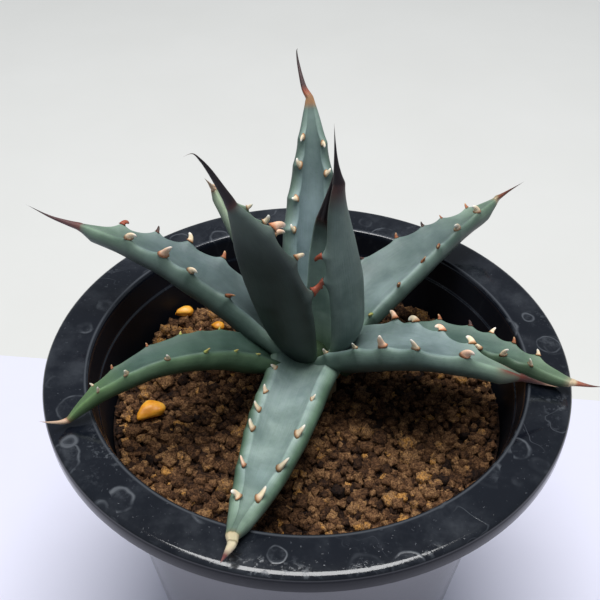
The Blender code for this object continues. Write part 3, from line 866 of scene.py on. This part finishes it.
def blade_half_width(leaf, t):
    """Half width in millimetres: swelling to the widest place, tapering to the tip."""
    foot, widest = leaf["half_width"]
    tip = leaf["tip"]
    rise = foot + (widest - foot) * np.sin(np.minimum(t / leaf["widest"], 1) * math.pi / 2)
    fall = np.clip((t - leaf["widest"]) / (1 - leaf["widest"]), 0, 1)
    drop = tip + (widest - tip) * np.maximum(np.cos(fall * math.pi / 2), 0) ** 0.9
    return np.where(t < leaf["widest"], rise, drop)

# %% [markdown]
# Where a tooth sits, the crest swells into a small fleshy hill, and between two teeth the edge is hollow.
# So the crest is pushed out near every tooth by an amount that falls off sharply on both sides. A big tooth
# sits on a big hill.

# %% Hills and crests
BUMP_REACH = 1.9                    # mm along the leaf
BUMP_RISE = 1.75                    # mm


def smooth_step(v, low, high):
    f = np.clip((v - low) / (high - low), 0, 1)
    return f * f * (3 - 2 * f)


def crest_share(leaf, t):
    """Where the crest stands, as a share of the half width: it closes in toward the end of the blade."""
    return leaf["crest"] * (1 - leaf["closing"] * smooth_step(t, 0.6, 1.0))


def hill(size):
    """How much of a full hill a tooth of this size has."""
    return 0.45 + 0.2 * size


def all_teeth(leaf):
    """Every tooth as its side (1 is left), place along the blade, size and tone."""
    for side, teeth in ((1, leaf["left"]), (-1, leaf["right"])):
        for at, size, tone_name in teeth:
            yield side, at, size, tone_name


def hills(leaf, t, side, length):
    """How far each place is up a hill, 1 at the top of a usual one."""
    rises = np.zeros(len(t))
    for tooth_side, at, size, _ in all_teeth(leaf):
        gap = np.abs(t - at) * length
        reach = BUMP_REACH * (0.7 + 0.12 * size)
        rises += (side == tooth_side) * np.exp(-(gap / reach) ** 1.35) * hill(size)
    return rises

# %% Wrap a grid into a leaf
CHANNEL = 0.26                      # the upper face's hollow, as a share of the half width
TAIL_DROP = 0.55                    # the spine's middle lies below the upper face by this share of its radius


def wrap_leaf(leaf):
    """The blade and its spine as one closed mesh, and the rows it was wrapped on."""
    deselect()
    bpy.ops.mesh.primitive_grid_add(x_subdivisions=AROUND, y_subdivisions=ROW_COUNT, size=1, calc_uvs=True)
    thing = bpy.context.object
    flat = np.empty(len(thing.data.vertices) * 3, np.float32)
    thing.data.vertices.foreach_get("co", flat)
    flat = flat.reshape(-1, 3)
    row = np.rint((flat[:, 1] + 0.5) * ROW_COUNT).astype(int)
    u = flat[:, 0].astype(float)
    centre, across, above, t_rows = leaf_rows(leaf)
    s = np.abs(u) * 2
    side = np.sign(u)
    t = t_rows[row]
    blade_t = np.minimum(t, 1)
    half = blade_half_width(leaf, blade_t)
    channel = CHANNEL * half * (1 - blade_t ** 3)
    thickness = np.minimum(leaf["thickness"] * (1 - 0.4 * blade_t), half * (1.1 + 0.8 * blade_t ** 6))
    thickness *= 0.45 + 0.55 * smooth_step(blade_t, 0.0, 0.2)
    x, y = half_section(s, half, crest_share(leaf, blade_t), channel, channel + thickness)
    tail = np.clip(t - 1, 0, 1)
    radius = leaf["tip"] * (1 - tail) ** leaf["taper"]
    groove = 1 - 0.35 * np.exp(-(s / 0.16) ** 2) * (1 - smooth_step(tail, 0.15, 0.6))
    round_x = radius * np.sin(s * math.pi)
    round_y = radius * np.cos(s * math.pi) * groove - TAIL_DROP * leaf["tip"] * (1 - tail)
    horn = smooth_step(t, 0.93, 1.12)
    x = x * (1 - horn) + round_x * horn
    y = y * (1 - horn) + round_y * horn
    length = np.linalg.norm(np.diff(centre[:ALONG + 1], axis=0), axis=1).sum()
    near_crest = np.exp(-((s - CREST_AT - 0.02) / 0.12) ** 2)
    bumps = hills(leaf, t, side, length)
    flank = 0.4 * np.exp(-((s - 0.6) / 0.13) ** 2)
    push = bumps * (near_crest + flank) * BUMP_RISE * leaf["bumps"]
    x = x * side + push * 0.5 * side
    y = y + push * np.where(s < 0.5, 0.75, 0.75 - 2.5 * (s - 0.5))
    places = centre[row] + across[row] * x[:, None] + above[row] * y[:, None]
    wave = np.array([noise.noise(Vector(p) * 0.11) for p in places])
    places += above[row] * (0.35 * wave * (1 - horn) * smooth_step(t, 0.05, 0.3))[:, None]
    thing.data.vertices.foreach_set("co", (places * MM).astype(np.float32).ravel())
    paint(thing, leaf, t, s, near_crest, bumps)
    close_and_face_outwards(thing)
    thing.data.shade_smooth()
    return thing, (centre, across, above)

# %% [markdown]
# ## Leaves: the painted base colour
# The tint runs from the foot's colour through the upper face's to the tip's. Underneath it is darker, as
# painted shade, and on the sides it has colours of its own that hold painted light and shade as well. A painted
# highlight makes it lighter on the crests and near the teeth. On the spine it follows a list of horn colours
# from its base to its point.

# %% Paint a leaf
def blend(a, b, factor):
    return a + (b - a) * factor[:, None]


def paint(thing, leaf, t, s, near_crest, bumps):
    # Painted shade: the back colour darkens the underside. The side colour holds painted light and shade on the
    # flanks beside the crests, with their own tint, and the foot colour is painted shade on the green and
    # shaded sets.
    under = smooth_step(s, 0.5, 0.88)
    tint = np.tile(np.array(leaf["face"]), (len(t), 1))
    for key, share in (("side", smooth_step(s, CREST_AT, CREST_AT + 0.1)),
                       ("foot", (1 - smooth_step(t, 0.0, 0.22)) * 0.8),
                       ("tip_colour", smooth_step(t, 0.66, 0.97) * 0.85),
                       ("back", under * (1 - 0.5 * smooth_step(t, 0.7, 1.0)))):
        tint = blend(tint, np.array(leaf[key]), share)
    # Painted highlight: the crests, and most of all the hills under the teeth, are made lighter.
    crest_highlight = near_crest ** 2 * (0.35 + 0.4 * np.minimum(bumps, 1))
    tint = blend(tint, tint * 1.45 + np.array([0.025, 0.034, 0.012]), crest_highlight)
    if "blush" in leaf:
        at, spread, colour = leaf["blush"]
        flush = smooth_step(t, at - spread, at + spread) * (0.15 + 0.8 * near_crest)
        tint = blend(tint, np.array(colour), flush)
    stops = np.array([p for p, _ in leaf["horn"]])
    colours = np.array([c for _, c in leaf["horn"]])
    along_spine = np.clip(t - 1, 0, 1)
    horn_tint = np.stack([np.interp(along_spine, stops, colours[:, i]) for i in range(3)], axis=1)
    horn = smooth_step(t, *leaf["horn_from"])
    store(thing.data, blend(tint, horn_tint, horn), horn)


def store(mesh, tint, horn):
    """Store the painted colour and the share of horn on the vertices."""
    rgba = np.ones((len(tint), 4))
    rgba[:, :3] = np.clip(tint, 0, 1)
    mesh.attributes.new("tint", 'FLOAT_COLOR', 'POINT').data.foreach_set("color", rgba.ravel())
    mesh.attributes.new("horn", 'FLOAT', 'POINT').data.foreach_set("value", np.asarray(horn, float))

# %% [markdown]
# ## Teeth
# A tooth is a flattened claw of dry horn. Most are rust-brown where they grow out of the flesh and cream
# above, and some are green, red or dark. Three are modelled, from nearly straight to tightly curled, by
# extruding a ring that shrinks and turns as it goes. Copies are joined to the leaf, because a tooth is part
# of its leaf.

# %% Three claws to copy
TOOTH_SHRINK = (0.76, 0.84, 0.89, 0.90, 0.88, 0.84, 0.76, 0.45)    # each ring as a share of the last
TOOTH_RINGS = len(TOOTH_SHRINK) + 1
TOOTH_SIDES = 10
TOOTH_FLATNESS = 0.62


def claw_model(curl):
    """A claw one unit long that leans over by curl degrees in all, its base in the plane of the skin."""
    deselect()
    bpy.ops.mesh.primitive_circle_add(vertices=TOOTH_SIDES, radius=0.50, fill_type='NGON')
    claw = bpy.context.object
    bpy.ops.object.mode_set(mode='EDIT')
    bpy.ops.mesh.select_all(action='SELECT')
    bpy.ops.transform.resize(value=(1.0, TOOTH_FLATNESS, 1.0))
    heading, at = 0.0, Vector((0, 0, 0))
    for width in TOOTH_SHRINK:
        heading += math.radians(curl) / TOOTH_RINGS
        step = Vector((math.sin(heading), 0, math.cos(heading))) * (1.15 / TOOTH_RINGS)
        at = at + step
        bpy.ops.mesh.extrude_region_move(TRANSFORM_OT_translate={"value": step})
        bpy.ops.transform.rotate(value=-math.radians(curl) / TOOTH_RINGS, orient_axis='Y', center_override=at)
        bpy.ops.transform.resize(value=(width, width, width), center_override=at)
    bpy.ops.object.mode_set(mode='OBJECT')
    close_and_face_outwards(claw, 0.0001)
    return claw


claws = [claw_model(curl) for curl in (35, 85, 140)]
for claw in claws:
    print("claw:", len(claw.data.polygons), "faces, size", [round(v, 2) for v in claw.dimensions])

# %% Put the teeth on a leaf
#                 colour where it grows out, on the body, at the point
TOOTH_TONES = {
    "cream": ((0.40, 0.16, 0.05), (0.88, 0.70, 0.48), (0.95, 0.91, 0.82)),
    "pink": ((0.52, 0.18, 0.07), (0.90, 0.58, 0.40), (0.93, 0.82, 0.70)),
    "rust": ((0.24, 0.10, 0.04), (0.36, 0.12, 0.05), (0.62, 0.38, 0.20)),
    "dark": ((0.16, 0.06, 0.04), (0.06, 0.025, 0.02), (0.04, 0.02, 0.018)),
    "red": ((0.30, 0.06, 0.03), (0.30, 0.065, 0.03), (0.14, 0.035, 0.02)),
    "green": ((0.30, 0.38, 0.10), (0.55, 0.50, 0.14), (0.70, 0.45, 0.16)),
}


def tooth_on(leaf, rows, side, at, size, tone_name, draw):
    """One claw on the crest of a leaf, coloured and turned by its own draw."""
    centre, across, above = rows
    row = int(round(at * ALONG))
    half = float(blade_half_width(leaf, np.array([at]))[0])
    rise = BUMP_RISE * hill(size) * leaf["bumps"]
    foot = centre[row] + across[row] * side * (float(crest_share(leaf, at)) * half + 0.5 * rise)
    foot = foot + above[row] * (0.75 * rise - 0.25)
    slope = Vector(centre[row + 1] - centre[row - 1]).normalized()
    outward = (Vector(across[row]) * side * 0.55 + Vector(above[row]) * 0.85).normalized()
    outward = outward + slope * draw.uniform(-0.35, 0.15) + Vector(above[row]) * draw.uniform(-0.1, 0.3)
    outward.normalize()
    lean = slope * draw.choice((-1, -1, 1)) + outward * 0.01 + Vector(across[row]) * draw.uniform(-0.6, 0.6)
    lean = (lean - outward * lean.dot(outward)).normalized()
    turn_to = Matrix((lean, outward.cross(lean), outward)).transposed().to_4x4()
    claw = copy_of(claws[draw.choice((0, 1, 1, 2)) if size > 2 else 0])
    width = 1.25 * size ** 0.75
    scale = Matrix.Diagonal((width, width * draw.uniform(0.85, 1.2), size * 1.1, 1))
    claw.matrix_world = Matrix.Scale(MM, 4) @ Matrix.Translation(foot) @ turn_to @ scale
    count = len(claw.data.vertices)
    rise_share = np.minimum(np.arange(count) // TOOTH_SIDES / (TOOTH_RINGS - 1), 1.0)
    root, body, point = (np.array(c) * draw.uniform(0.88, 1.08) for c in TOOTH_TONES[tone_name])
    tint = np.tile(root, (count, 1))
    tint = blend(tint, body, smooth_step(rise_share, 0.03, 0.26))
    tint = blend(tint, point, smooth_step(rise_share, 0.55, 1.0))
    store(claw.data, tint, np.ones(count))
    claw.data.shade_smooth()
    place_in_mesh(claw)
    return claw

# %% [markdown]
# ## The eleven leaves
# The table repeats the CAD leaf's guides: distance out, height against the rim, and sway to the left of the
# heading, in millimetres. It adds what only the looks need: where each tooth sits and how big it is, the
# colours, and the path and the horn colours of the spine. The leaves differ, as they do on a real plant: the
# lowest are thin and green, the youngest stand shaded in the middle. Their colours also carry painted light and
# shade, lighter where a leaf meets the light and darker where it is turned away.

# %% Leaf colours
# Lengths are in millimetres. Every leaf has these values unless its row says otherwise.
USUAL = dict(tip=1.25, taper=1.3, thickness=7.6, crest=0.86, closing=0.15, bumps=1.0, horn_from=(0.975, 1.03))
# The face, side, back, foot and tip colours hold painted light and shade: the back is painted shade on the
# underside, the dark feet of the green and shaded sets are painted shade low in the rosette, and the sides are
# a painted highlight on the green set and painted shade on the others.
GLAUCOUS = dict(
    USUAL, skin="leaf_glaucous", face=(0.122, 0.168, 0.160), side=(0.092, 0.138, 0.112),
    back=(0.034, 0.050, 0.044), foot=(0.25, 0.35, 0.27), tip_colour=(0.135, 0.200, 0.138))
GREEN = dict(
    USUAL, skin="leaf_green", face=(0.054, 0.096, 0.074), side=(0.094, 0.160, 0.086),
    back=(0.022, 0.048, 0.022), foot=(0.016, 0.044, 0.016), tip_colour=(0.14, 0.24, 0.085))
SHADED = dict(
    USUAL, skin="leaf_shaded", face=(0.085, 0.120, 0.113), side=(0.045, 0.062, 0.054),
    back=(0.022, 0.033, 0.027), foot=(0.035, 0.070, 0.035), tip_colour=(0.070, 0.096, 0.080))

# %% Horn colours
# Each is a list of (place from the spine's base to its point, colour).
DARK_HORN = ((0.0, (0.060, 0.024, 0.020)), (0.12, (0.014, 0.007, 0.009)), (0.8, (0.012, 0.006, 0.008)),
             (1.0, (0.05, 0.025, 0.02)))
BENT_HORN = ((0.0, (0.070, 0.026, 0.022)), (0.10, (0.014, 0.007, 0.009)), (0.6, (0.014, 0.008, 0.010)),
             (0.8, (0.09, 0.045, 0.045)), (1.0, (0.34, 0.23, 0.20)))
FLAMED_HORN = ((0.0, (0.45, 0.24, 0.12)), (0.12, (0.36, 0.08, 0.035)), (0.26, (0.06, 0.018, 0.018)),
               (0.8, (0.018, 0.008, 0.010)), (1.0, (0.05, 0.025, 0.02)))
PLUM_HORN = ((0.0, (0.17, 0.07, 0.06)), (0.35, (0.13, 0.055, 0.055)), (0.75, (0.05, 0.022, 0.024)),
             (1.0, (0.025, 0.012, 0.014)))
RED_HORN = ((0.0, (0.13, 0.030, 0.018)), (0.3, (0.06, 0.02, 0.016)), (0.6, (0.10, 0.045, 0.035)),
            (0.85, (0.5, 0.3, 0.2)), (1.0, (0.6, 0.4, 0.28)))
TAN_HORN = ((0.0, (0.34, 0.15, 0.08)), (0.15, (0.66, 0.44, 0.30)), (0.7, (0.72, 0.50, 0.36)),
            (1.0, (0.36, 0.16, 0.09)))
DRY_HORN = ((0.0, (0.22, 0.16, 0.06)), (0.06, (0.66, 0.54, 0.34)), (0.3, (0.70, 0.59, 0.38)),
            (0.34, (0.22, 0.16, 0.08)), (0.38, (0.72, 0.62, 0.42)), (0.62, (0.66, 0.54, 0.38)),
            (0.78, (0.16, 0.05, 0.045)), (1.0, (0.20, 0.09, 0.08)))
PALE_BASED_HORN = ((0.0, (0.60, 0.46, 0.30)), (0.2, (0.66, 0.52, 0.34)), (0.34, (0.34, 0.11, 0.06)),
                   (0.7, (0.17, 0.06, 0.05)), (1.0, (0.05, 0.025, 0.025)))

# %% Leaf table
# Each row's own colours are painted light and shade as well: lighter where a leaf faces up into the light,
# darker where it is turned away.
LEAVES = {
    "leaf_right_lower": dict(
        GREEN, heading=-12, out=(7, 25, 48, 73), up=(-8, 9, 6, 4.5), sway=(11, 4, -6),
        half_width=(7.0, 8.1), widest=0.37, roll=(-20, -16), horn=PALE_BASED_HORN, tip=1.3,
        face=(0.080, 0.130, 0.105), foot=(0.05, 0.09, 0.05), side=(0.050, 0.090, 0.055),
        tip_colour=(0.110, 0.170, 0.095),
        spine=((75, 4.3, -6.4), (78.5, 4.2, -6.8), (82, 4.5, -7)),
        left=((0.45, 1.5, "rust"), (0.58, 1.6, "dark"), (0.67, 1.8, "cream"), (0.76, 1.6, "rust"),
              (0.86, 1.7, "cream")),
        right=((0.55, 1.6, "cream"), (0.67, 2.4, "cream"), (0.76, 2.6, "cream"), (0.86, 2.0, "cream"))),
    "leaf_left_lower": dict(
        GREEN, heading=206, out=(9, 27, 53, 74), up=(-3, 15, 20, 2.6), sway=(-1, -1, 2),
        half_width=(7.6, 6.5), widest=0.30, roll=(-1, 24), horn=TAN_HORN, tip=0.95, bumps=0.45,
        spine=((76, 2.9, 2.5), (79, 4.4, 2.9), (81.5, 5.8, 3)),
        left=((0.20, 1.1, "green"), (0.30, 1.2, "green"), (0.43, 1.5, "green"), (0.58, 1.8, "cream"),
              (0.74, 2.0, "cream"), (0.85, 1.5, "cream")),
        right=((0.29, 1.0, "green"), (0.38, 0.9, "rust"), (0.47, 0.9, "green"), (0.61, 1.0, "rust"),
               (0.77, 1.1, "rust"), (0.87, 1.1, "cream"))),
    "leaf_front": dict(
        GLAUCOUS, heading=254, out=(6, 28, 52, 75), up=(0, 5, -1, 5), sway=(0, 1, 1),
        half_width=(11.0, 9.5), widest=0.22, roll=(1, 0), horn=DRY_HORN, tip=1.7, taper=0.85,
        crest=0.64, closing=0.6, bumps=0.5,
        # Painted light: this face is lighter than the set's, as the leaf faces up into the light.
        face=(0.215, 0.285, 0.258), side=(0.072, 0.125, 0.080), tip_colour=(0.120, 0.175, 0.130),
        spine=((78, 5.6, 2.0), (82, 6.9, 2.1), (86, 8, 2)),
        left=((0.30, 1.8, "cream"), (0.49, 3.4, "cream"), (0.67, 3.6, "cream"), (0.83, 3.6, "cream")),
        right=((0.16, 2.0, "cream"), (0.31, 2.0, "cream"), (0.41, 2.6, "cream"), (0.51, 2.8, "cream"),
               (0.69, 2.8, "pink"), (0.84, 3.2, "cream"))),
    "leaf_right": dict(
        GLAUCOUS, heading=-27, out=(3, 19, 37, 60.5), up=(-2, 14, 17.5, 12.6), sway=(-1, -2, 0.2),
        half_width=(7.4, 10.5), widest=0.39, roll=(-4, -32), horn=RED_HORN,
        blush=(0.93, 0.03, (0.16, 0.020, 0.012)),
        spine=((63.5, 11.0, 1.6), (66.9, 9.3, 3.3), (70.5, 8, 5)),
        left=((0.35, 3.4, "pink"), (0.47, 3.2, "cream"), (0.62, 2.8, "pink"), (0.78, 3.0, "cream")),
        right=((0.13, 1.8, "cream"), (0.32, 2.0, "cream"), (0.46, 3.6, "pink"), (0.60, 3.0, "cream"),
               (0.79, 3.6, "pink"))),
    "leaf_left_upper": dict(
        GLAUCOUS, heading=164, out=(7, 23, 45, 70), up=(-2, 18, 26, 27), sway=(-1, -1, 0),
        half_width=(9.0, 9.8), widest=0.44, roll=(11, 26), horn=PLUM_HORN, tip=1.4, bumps=1.25,
        face=(0.100, 0.140, 0.136),
        spine=((74.5, 27.5, 0.3), (80, 28.6, 0.6), (87, 31.5, 1)),
        left=((0.33, 2.2, "rust"), (0.51, 2.8, "cream"), (0.63, 4.2, "pink"), (0.78, 3.3, "cream")),
        right=((0.42, 2.0, "rust"), (0.58, 2.6, "cream"), (0.72, 1.8, "dark"), (0.86, 2.3, "red"))),
    "leaf_right_upper": dict(
        GLAUCOUS, heading=41, out=(6, 28, 50, 77), up=(-1, 16, 12, 15), sway=(1, 2, 0),
        half_width=(8.1, 9.9), widest=0.35, roll=(1, -31), horn=PALE_BASED_HORN, tip=1.2, bumps=0.8,
        face=(0.135, 0.182, 0.170),
        spine=((77.8, 16.6, -1.4), (79.6, 19.4, -3.8), (82, 23, -7)),
        left=((0.34, 1.3, "dark"), (0.54, 1.5, "rust"), (0.68, 1.4, "dark"), (0.77, 1.3, "rust"),
              (0.89, 1.5, "rust")),
        right=((0.14, 1.6, "green"), (0.31, 1.8, "rust"), (0.46, 2.0, "rust"), (0.57, 2.3, "rust"),
               (0.71, 3.2, "cream"), (0.86, 3.0, "cream"))),
    "leaf_back": dict(
        GLAUCOUS, heading=92, out=(4, 16, 27, 42), up=(0, 18, 34, 56), sway=(2, -2, 0),
        half_width=(8.6, 8.3), widest=0.30, roll=(0, 2), horn=FLAMED_HORN, horn_from=(0.955, 0.985),
        tip=1.15, crest=0.54,
        face=(0.130, 0.182, 0.184), tip_colour=(0.15, 0.21, 0.18),
        spine=((44.5, 57.6, 1.4), (47.5, 59.8, 2.3), (51.5, 62.5, 3.1), (54, 64.6, 3.4), (55, 65, 3)),
        left=((0.46, 2.4, "cream"), (0.60, 2.6, "cream"), (0.74, 2.8, "cream"), (0.85, 2.2, "cream")),
        right=((0.50, 2.0, "rust"), (0.71, 2.4, "cream"), (0.83, 2.2, "cream"))),
    "leaf_behind_left": dict(
        GREEN, heading=160, out=(2, 8, 16, 28), up=(-1, 16, 31, 47), sway=(-1, 0, 1),
        half_width=(7.2, 8.4), widest=0.31, roll=(-6, 2), horn=TAN_HORN, tip=1.1, thickness=5.5,
        face=(0.10, 0.15, 0.125), side=(0.16, 0.22, 0.16), tip_colour=(0.34, 0.42, 0.28),
        spine=((28.3, 47.9, 2.2), (28.6, 50.4, 4.0), (29, 53, 6)),
        left=((0.55, 1.8, "rust"), (0.75, 1.8, "rust")),
        right=((0.61, 3.2, "pink"), (0.70, 2.8, "cream"), (0.82, 1.8, "cream"))),
    "leaf_centre_left": dict(
        SHADED, heading=233, out=(6, 13, 19, 29), up=(-1, 22, 44, 63), sway=(0, 0, -3),
        half_width=(5.4, 8.9), widest=0.47, roll=(13, 12), horn=BENT_HORN, tip=1.5, taper=1.7,
        thickness=4.5, foot=(0.060, 0.110, 0.055), tip_colour=(0.115, 0.155, 0.130),
        spine=((30.6, 67, -4.1), (32.9, 72.9, -5.9), (34.7, 76.4, -7.1), (36.4, 78.4, -8.0), (39, 78, -9)),
        left=((0.44, 4.2, "red"), (0.65, 3.2, "cream"), (0.83, 3.8, "pink")),
        right=((0.50, 1.6, "rust"), (0.72, 1.6, "rust"))),
    "leaf_centre_right": dict(
        SHADED, heading=-31, out=(8, 11.5, 5, 6.2), up=(0, 19, 37, 57), sway=(1, -1.2, -1.0),
        half_width=(5.6, 6.7), widest=0.36, roll=(-5, -3), horn=DARK_HORN, horn_from=(0.86, 1.0), tip=1.8,
        # Painted light: the side, back and foot are set lighter than the shaded set's, for the light that
        # reaches this leaf.
        thickness=4.2, side=(0.14, 0.19, 0.17), back=(0.118, 0.165, 0.148), foot=(0.21, 0.32, 0.20),
        spine=((6.0, 60, -1.0), (5.7, 65, -1.0), (5.4, 74.5, -1.2)),
        left=((0.45, 1.6, "rust"), (0.68, 1.6, "rust")),
        right=((0.52, 2.4, "red"), (0.66, 2.6, "red"))),
    "leaf_spear": dict(
        SHADED, heading=61, out=(0.5, 1.5, 1, -1), up=(-5, 17, 31, 44), sway=(-0.5, -1, -2),
        half_width=(8.0, 4.0), widest=0.46, roll=(-1, -1), horn=DARK_HORN, horn_from=(0.9, 1.0), tip=1.6,
        thickness=9,
        # Painted light: the spear's colours are set pale, for the light that reaches it in the shade of the
        # middle.
        face=(0.30, 0.40, 0.35), side=(0.32, 0.42, 0.37), back=(0.30, 0.40, 0.35), foot=(0.12, 0.20, 0.12),
        spine=((-0.3, 49, -2.9), (0.9, 55, -3.9), (2, 62, -5)), left=(), right=()),
}
print("teeth in all:", sum(1 for leaf in LEAVES.values() for tooth in all_teeth(leaf)))

# %% Make the leaves
FIRST_SEED = 40


def make_leaf(name, leaf, draw):
    blade, rows = wrap_leaf(leaf)
    teeth = [tooth_on(leaf, rows, *tooth, draw) for tooth in all_teeth(leaf)]
    blade = join([blade] + teeth, name)
    finish_piece(blade, name + "_grown", LEAF_SKINS[leaf["skin"]], leaf["skin"], name)


for number, (leaf_name, leaf) in enumerate(LEAVES.items()):
    make_leaf(leaf_name, leaf, random.Random(FIRST_SEED + number))
for claw in claws:
    bpy.data.objects.remove(claw)

# %% [markdown]
# ## Stage, light and camera
# The pot stands on a sheet of white paper that ends behind it, on a pale floor. One big soft light hangs
# straight overhead, as in a bright room, and a weak pale world fills the shadows.

# %% Floor and sheet
def pale_surface(name, low, high, scale):
    skin, tree, shader = new_skin(name)
    coords = place_coords(tree)
    feed(tree, shader, {
        "Base Color": mix_colours(tree, cloud(tree, coords, scale, 4.0), low, high),
        "Normal": bump(tree, cloud(tree, coords, 400.0, 3.0), 0.00005, 0.4), "Roughness": 0.75})
    return skin


def stage_sheet(name, corners, height, skin):
    thing = thing_from(name, [(x, y, height) for x, y in corners], [(0, 1, 2, 3)])
    wear(thing, skin)
    print(name, "at", height / MM, "mm")


stage_sheet("floor", ((-4, -3), (4, -3), (4, 5), (-4, 5)), -0.0006,
            pale_surface("floor_pale", (0.70, 0.695, 0.66), (0.77, 0.765, 0.735), 9.0))
stage_sheet("sheet", ((-0.60, -0.70), (0.60, -0.70), (0.60, 0.055), (-0.60, 0.178)), 0.0,
            pale_surface("sheet_white", (0.74, 0.735, 0.86), (0.79, 0.785, 0.91), 14.0))

# %% Light
world = bpy.data.worlds.new("pale_room")
world.use_nodes = True
feed(world.node_tree, world.node_tree.nodes["Background"], {"Color": (0.78, 0.87, 1.0, 1), "Strength": 0.26})
bpy.context.scene.world = world


def soft_light(name, place, target, size, power):
    light = bpy.data.lights.new(name, 'AREA')
    light.shape = 'SQUARE'
    light.size = size
    light.energy = power
    thing = bpy.data.objects.new(name, light)
    bpy.context.collection.objects.link(thing)
    thing.location = place
    thing.rotation_euler = (Vector(target) - Vector(place)).to_track_quat('-Z', 'Y').to_euler()
    print(name, "light:", power, "W,", size, "m wide")


soft_light("overhead", (0.0, 0.02, 1.2), (0, 0.02, 0.1), 0.68, 15.5)

# %% Camera
CAMERA_PLACE = (-0.00208, -0.20893, TOP * MM + 0.19791)
CAMERA_DOWN = 40.29                 # degrees below level
CAMERA_ROLL = 0.2
bpy.context.scene.view_settings.view_transform = 'Standard'
camera = bpy.data.objects.new("camera", bpy.data.cameras.new("camera"))
bpy.context.collection.objects.link(camera)
camera.data.lens = 60
camera.data.sensor_width = 36
tip_down = Matrix.Rotation(math.radians(90 - CAMERA_DOWN), 4, 'X')
roll = Matrix.Rotation(math.radians(CAMERA_ROLL), 4, 'Z')
camera.matrix_world = Matrix.Translation(CAMERA_PLACE) @ tip_down @ roll
bpy.context.scene.camera = camera
print("camera: looks", CAMERA_DOWN, "degrees down")
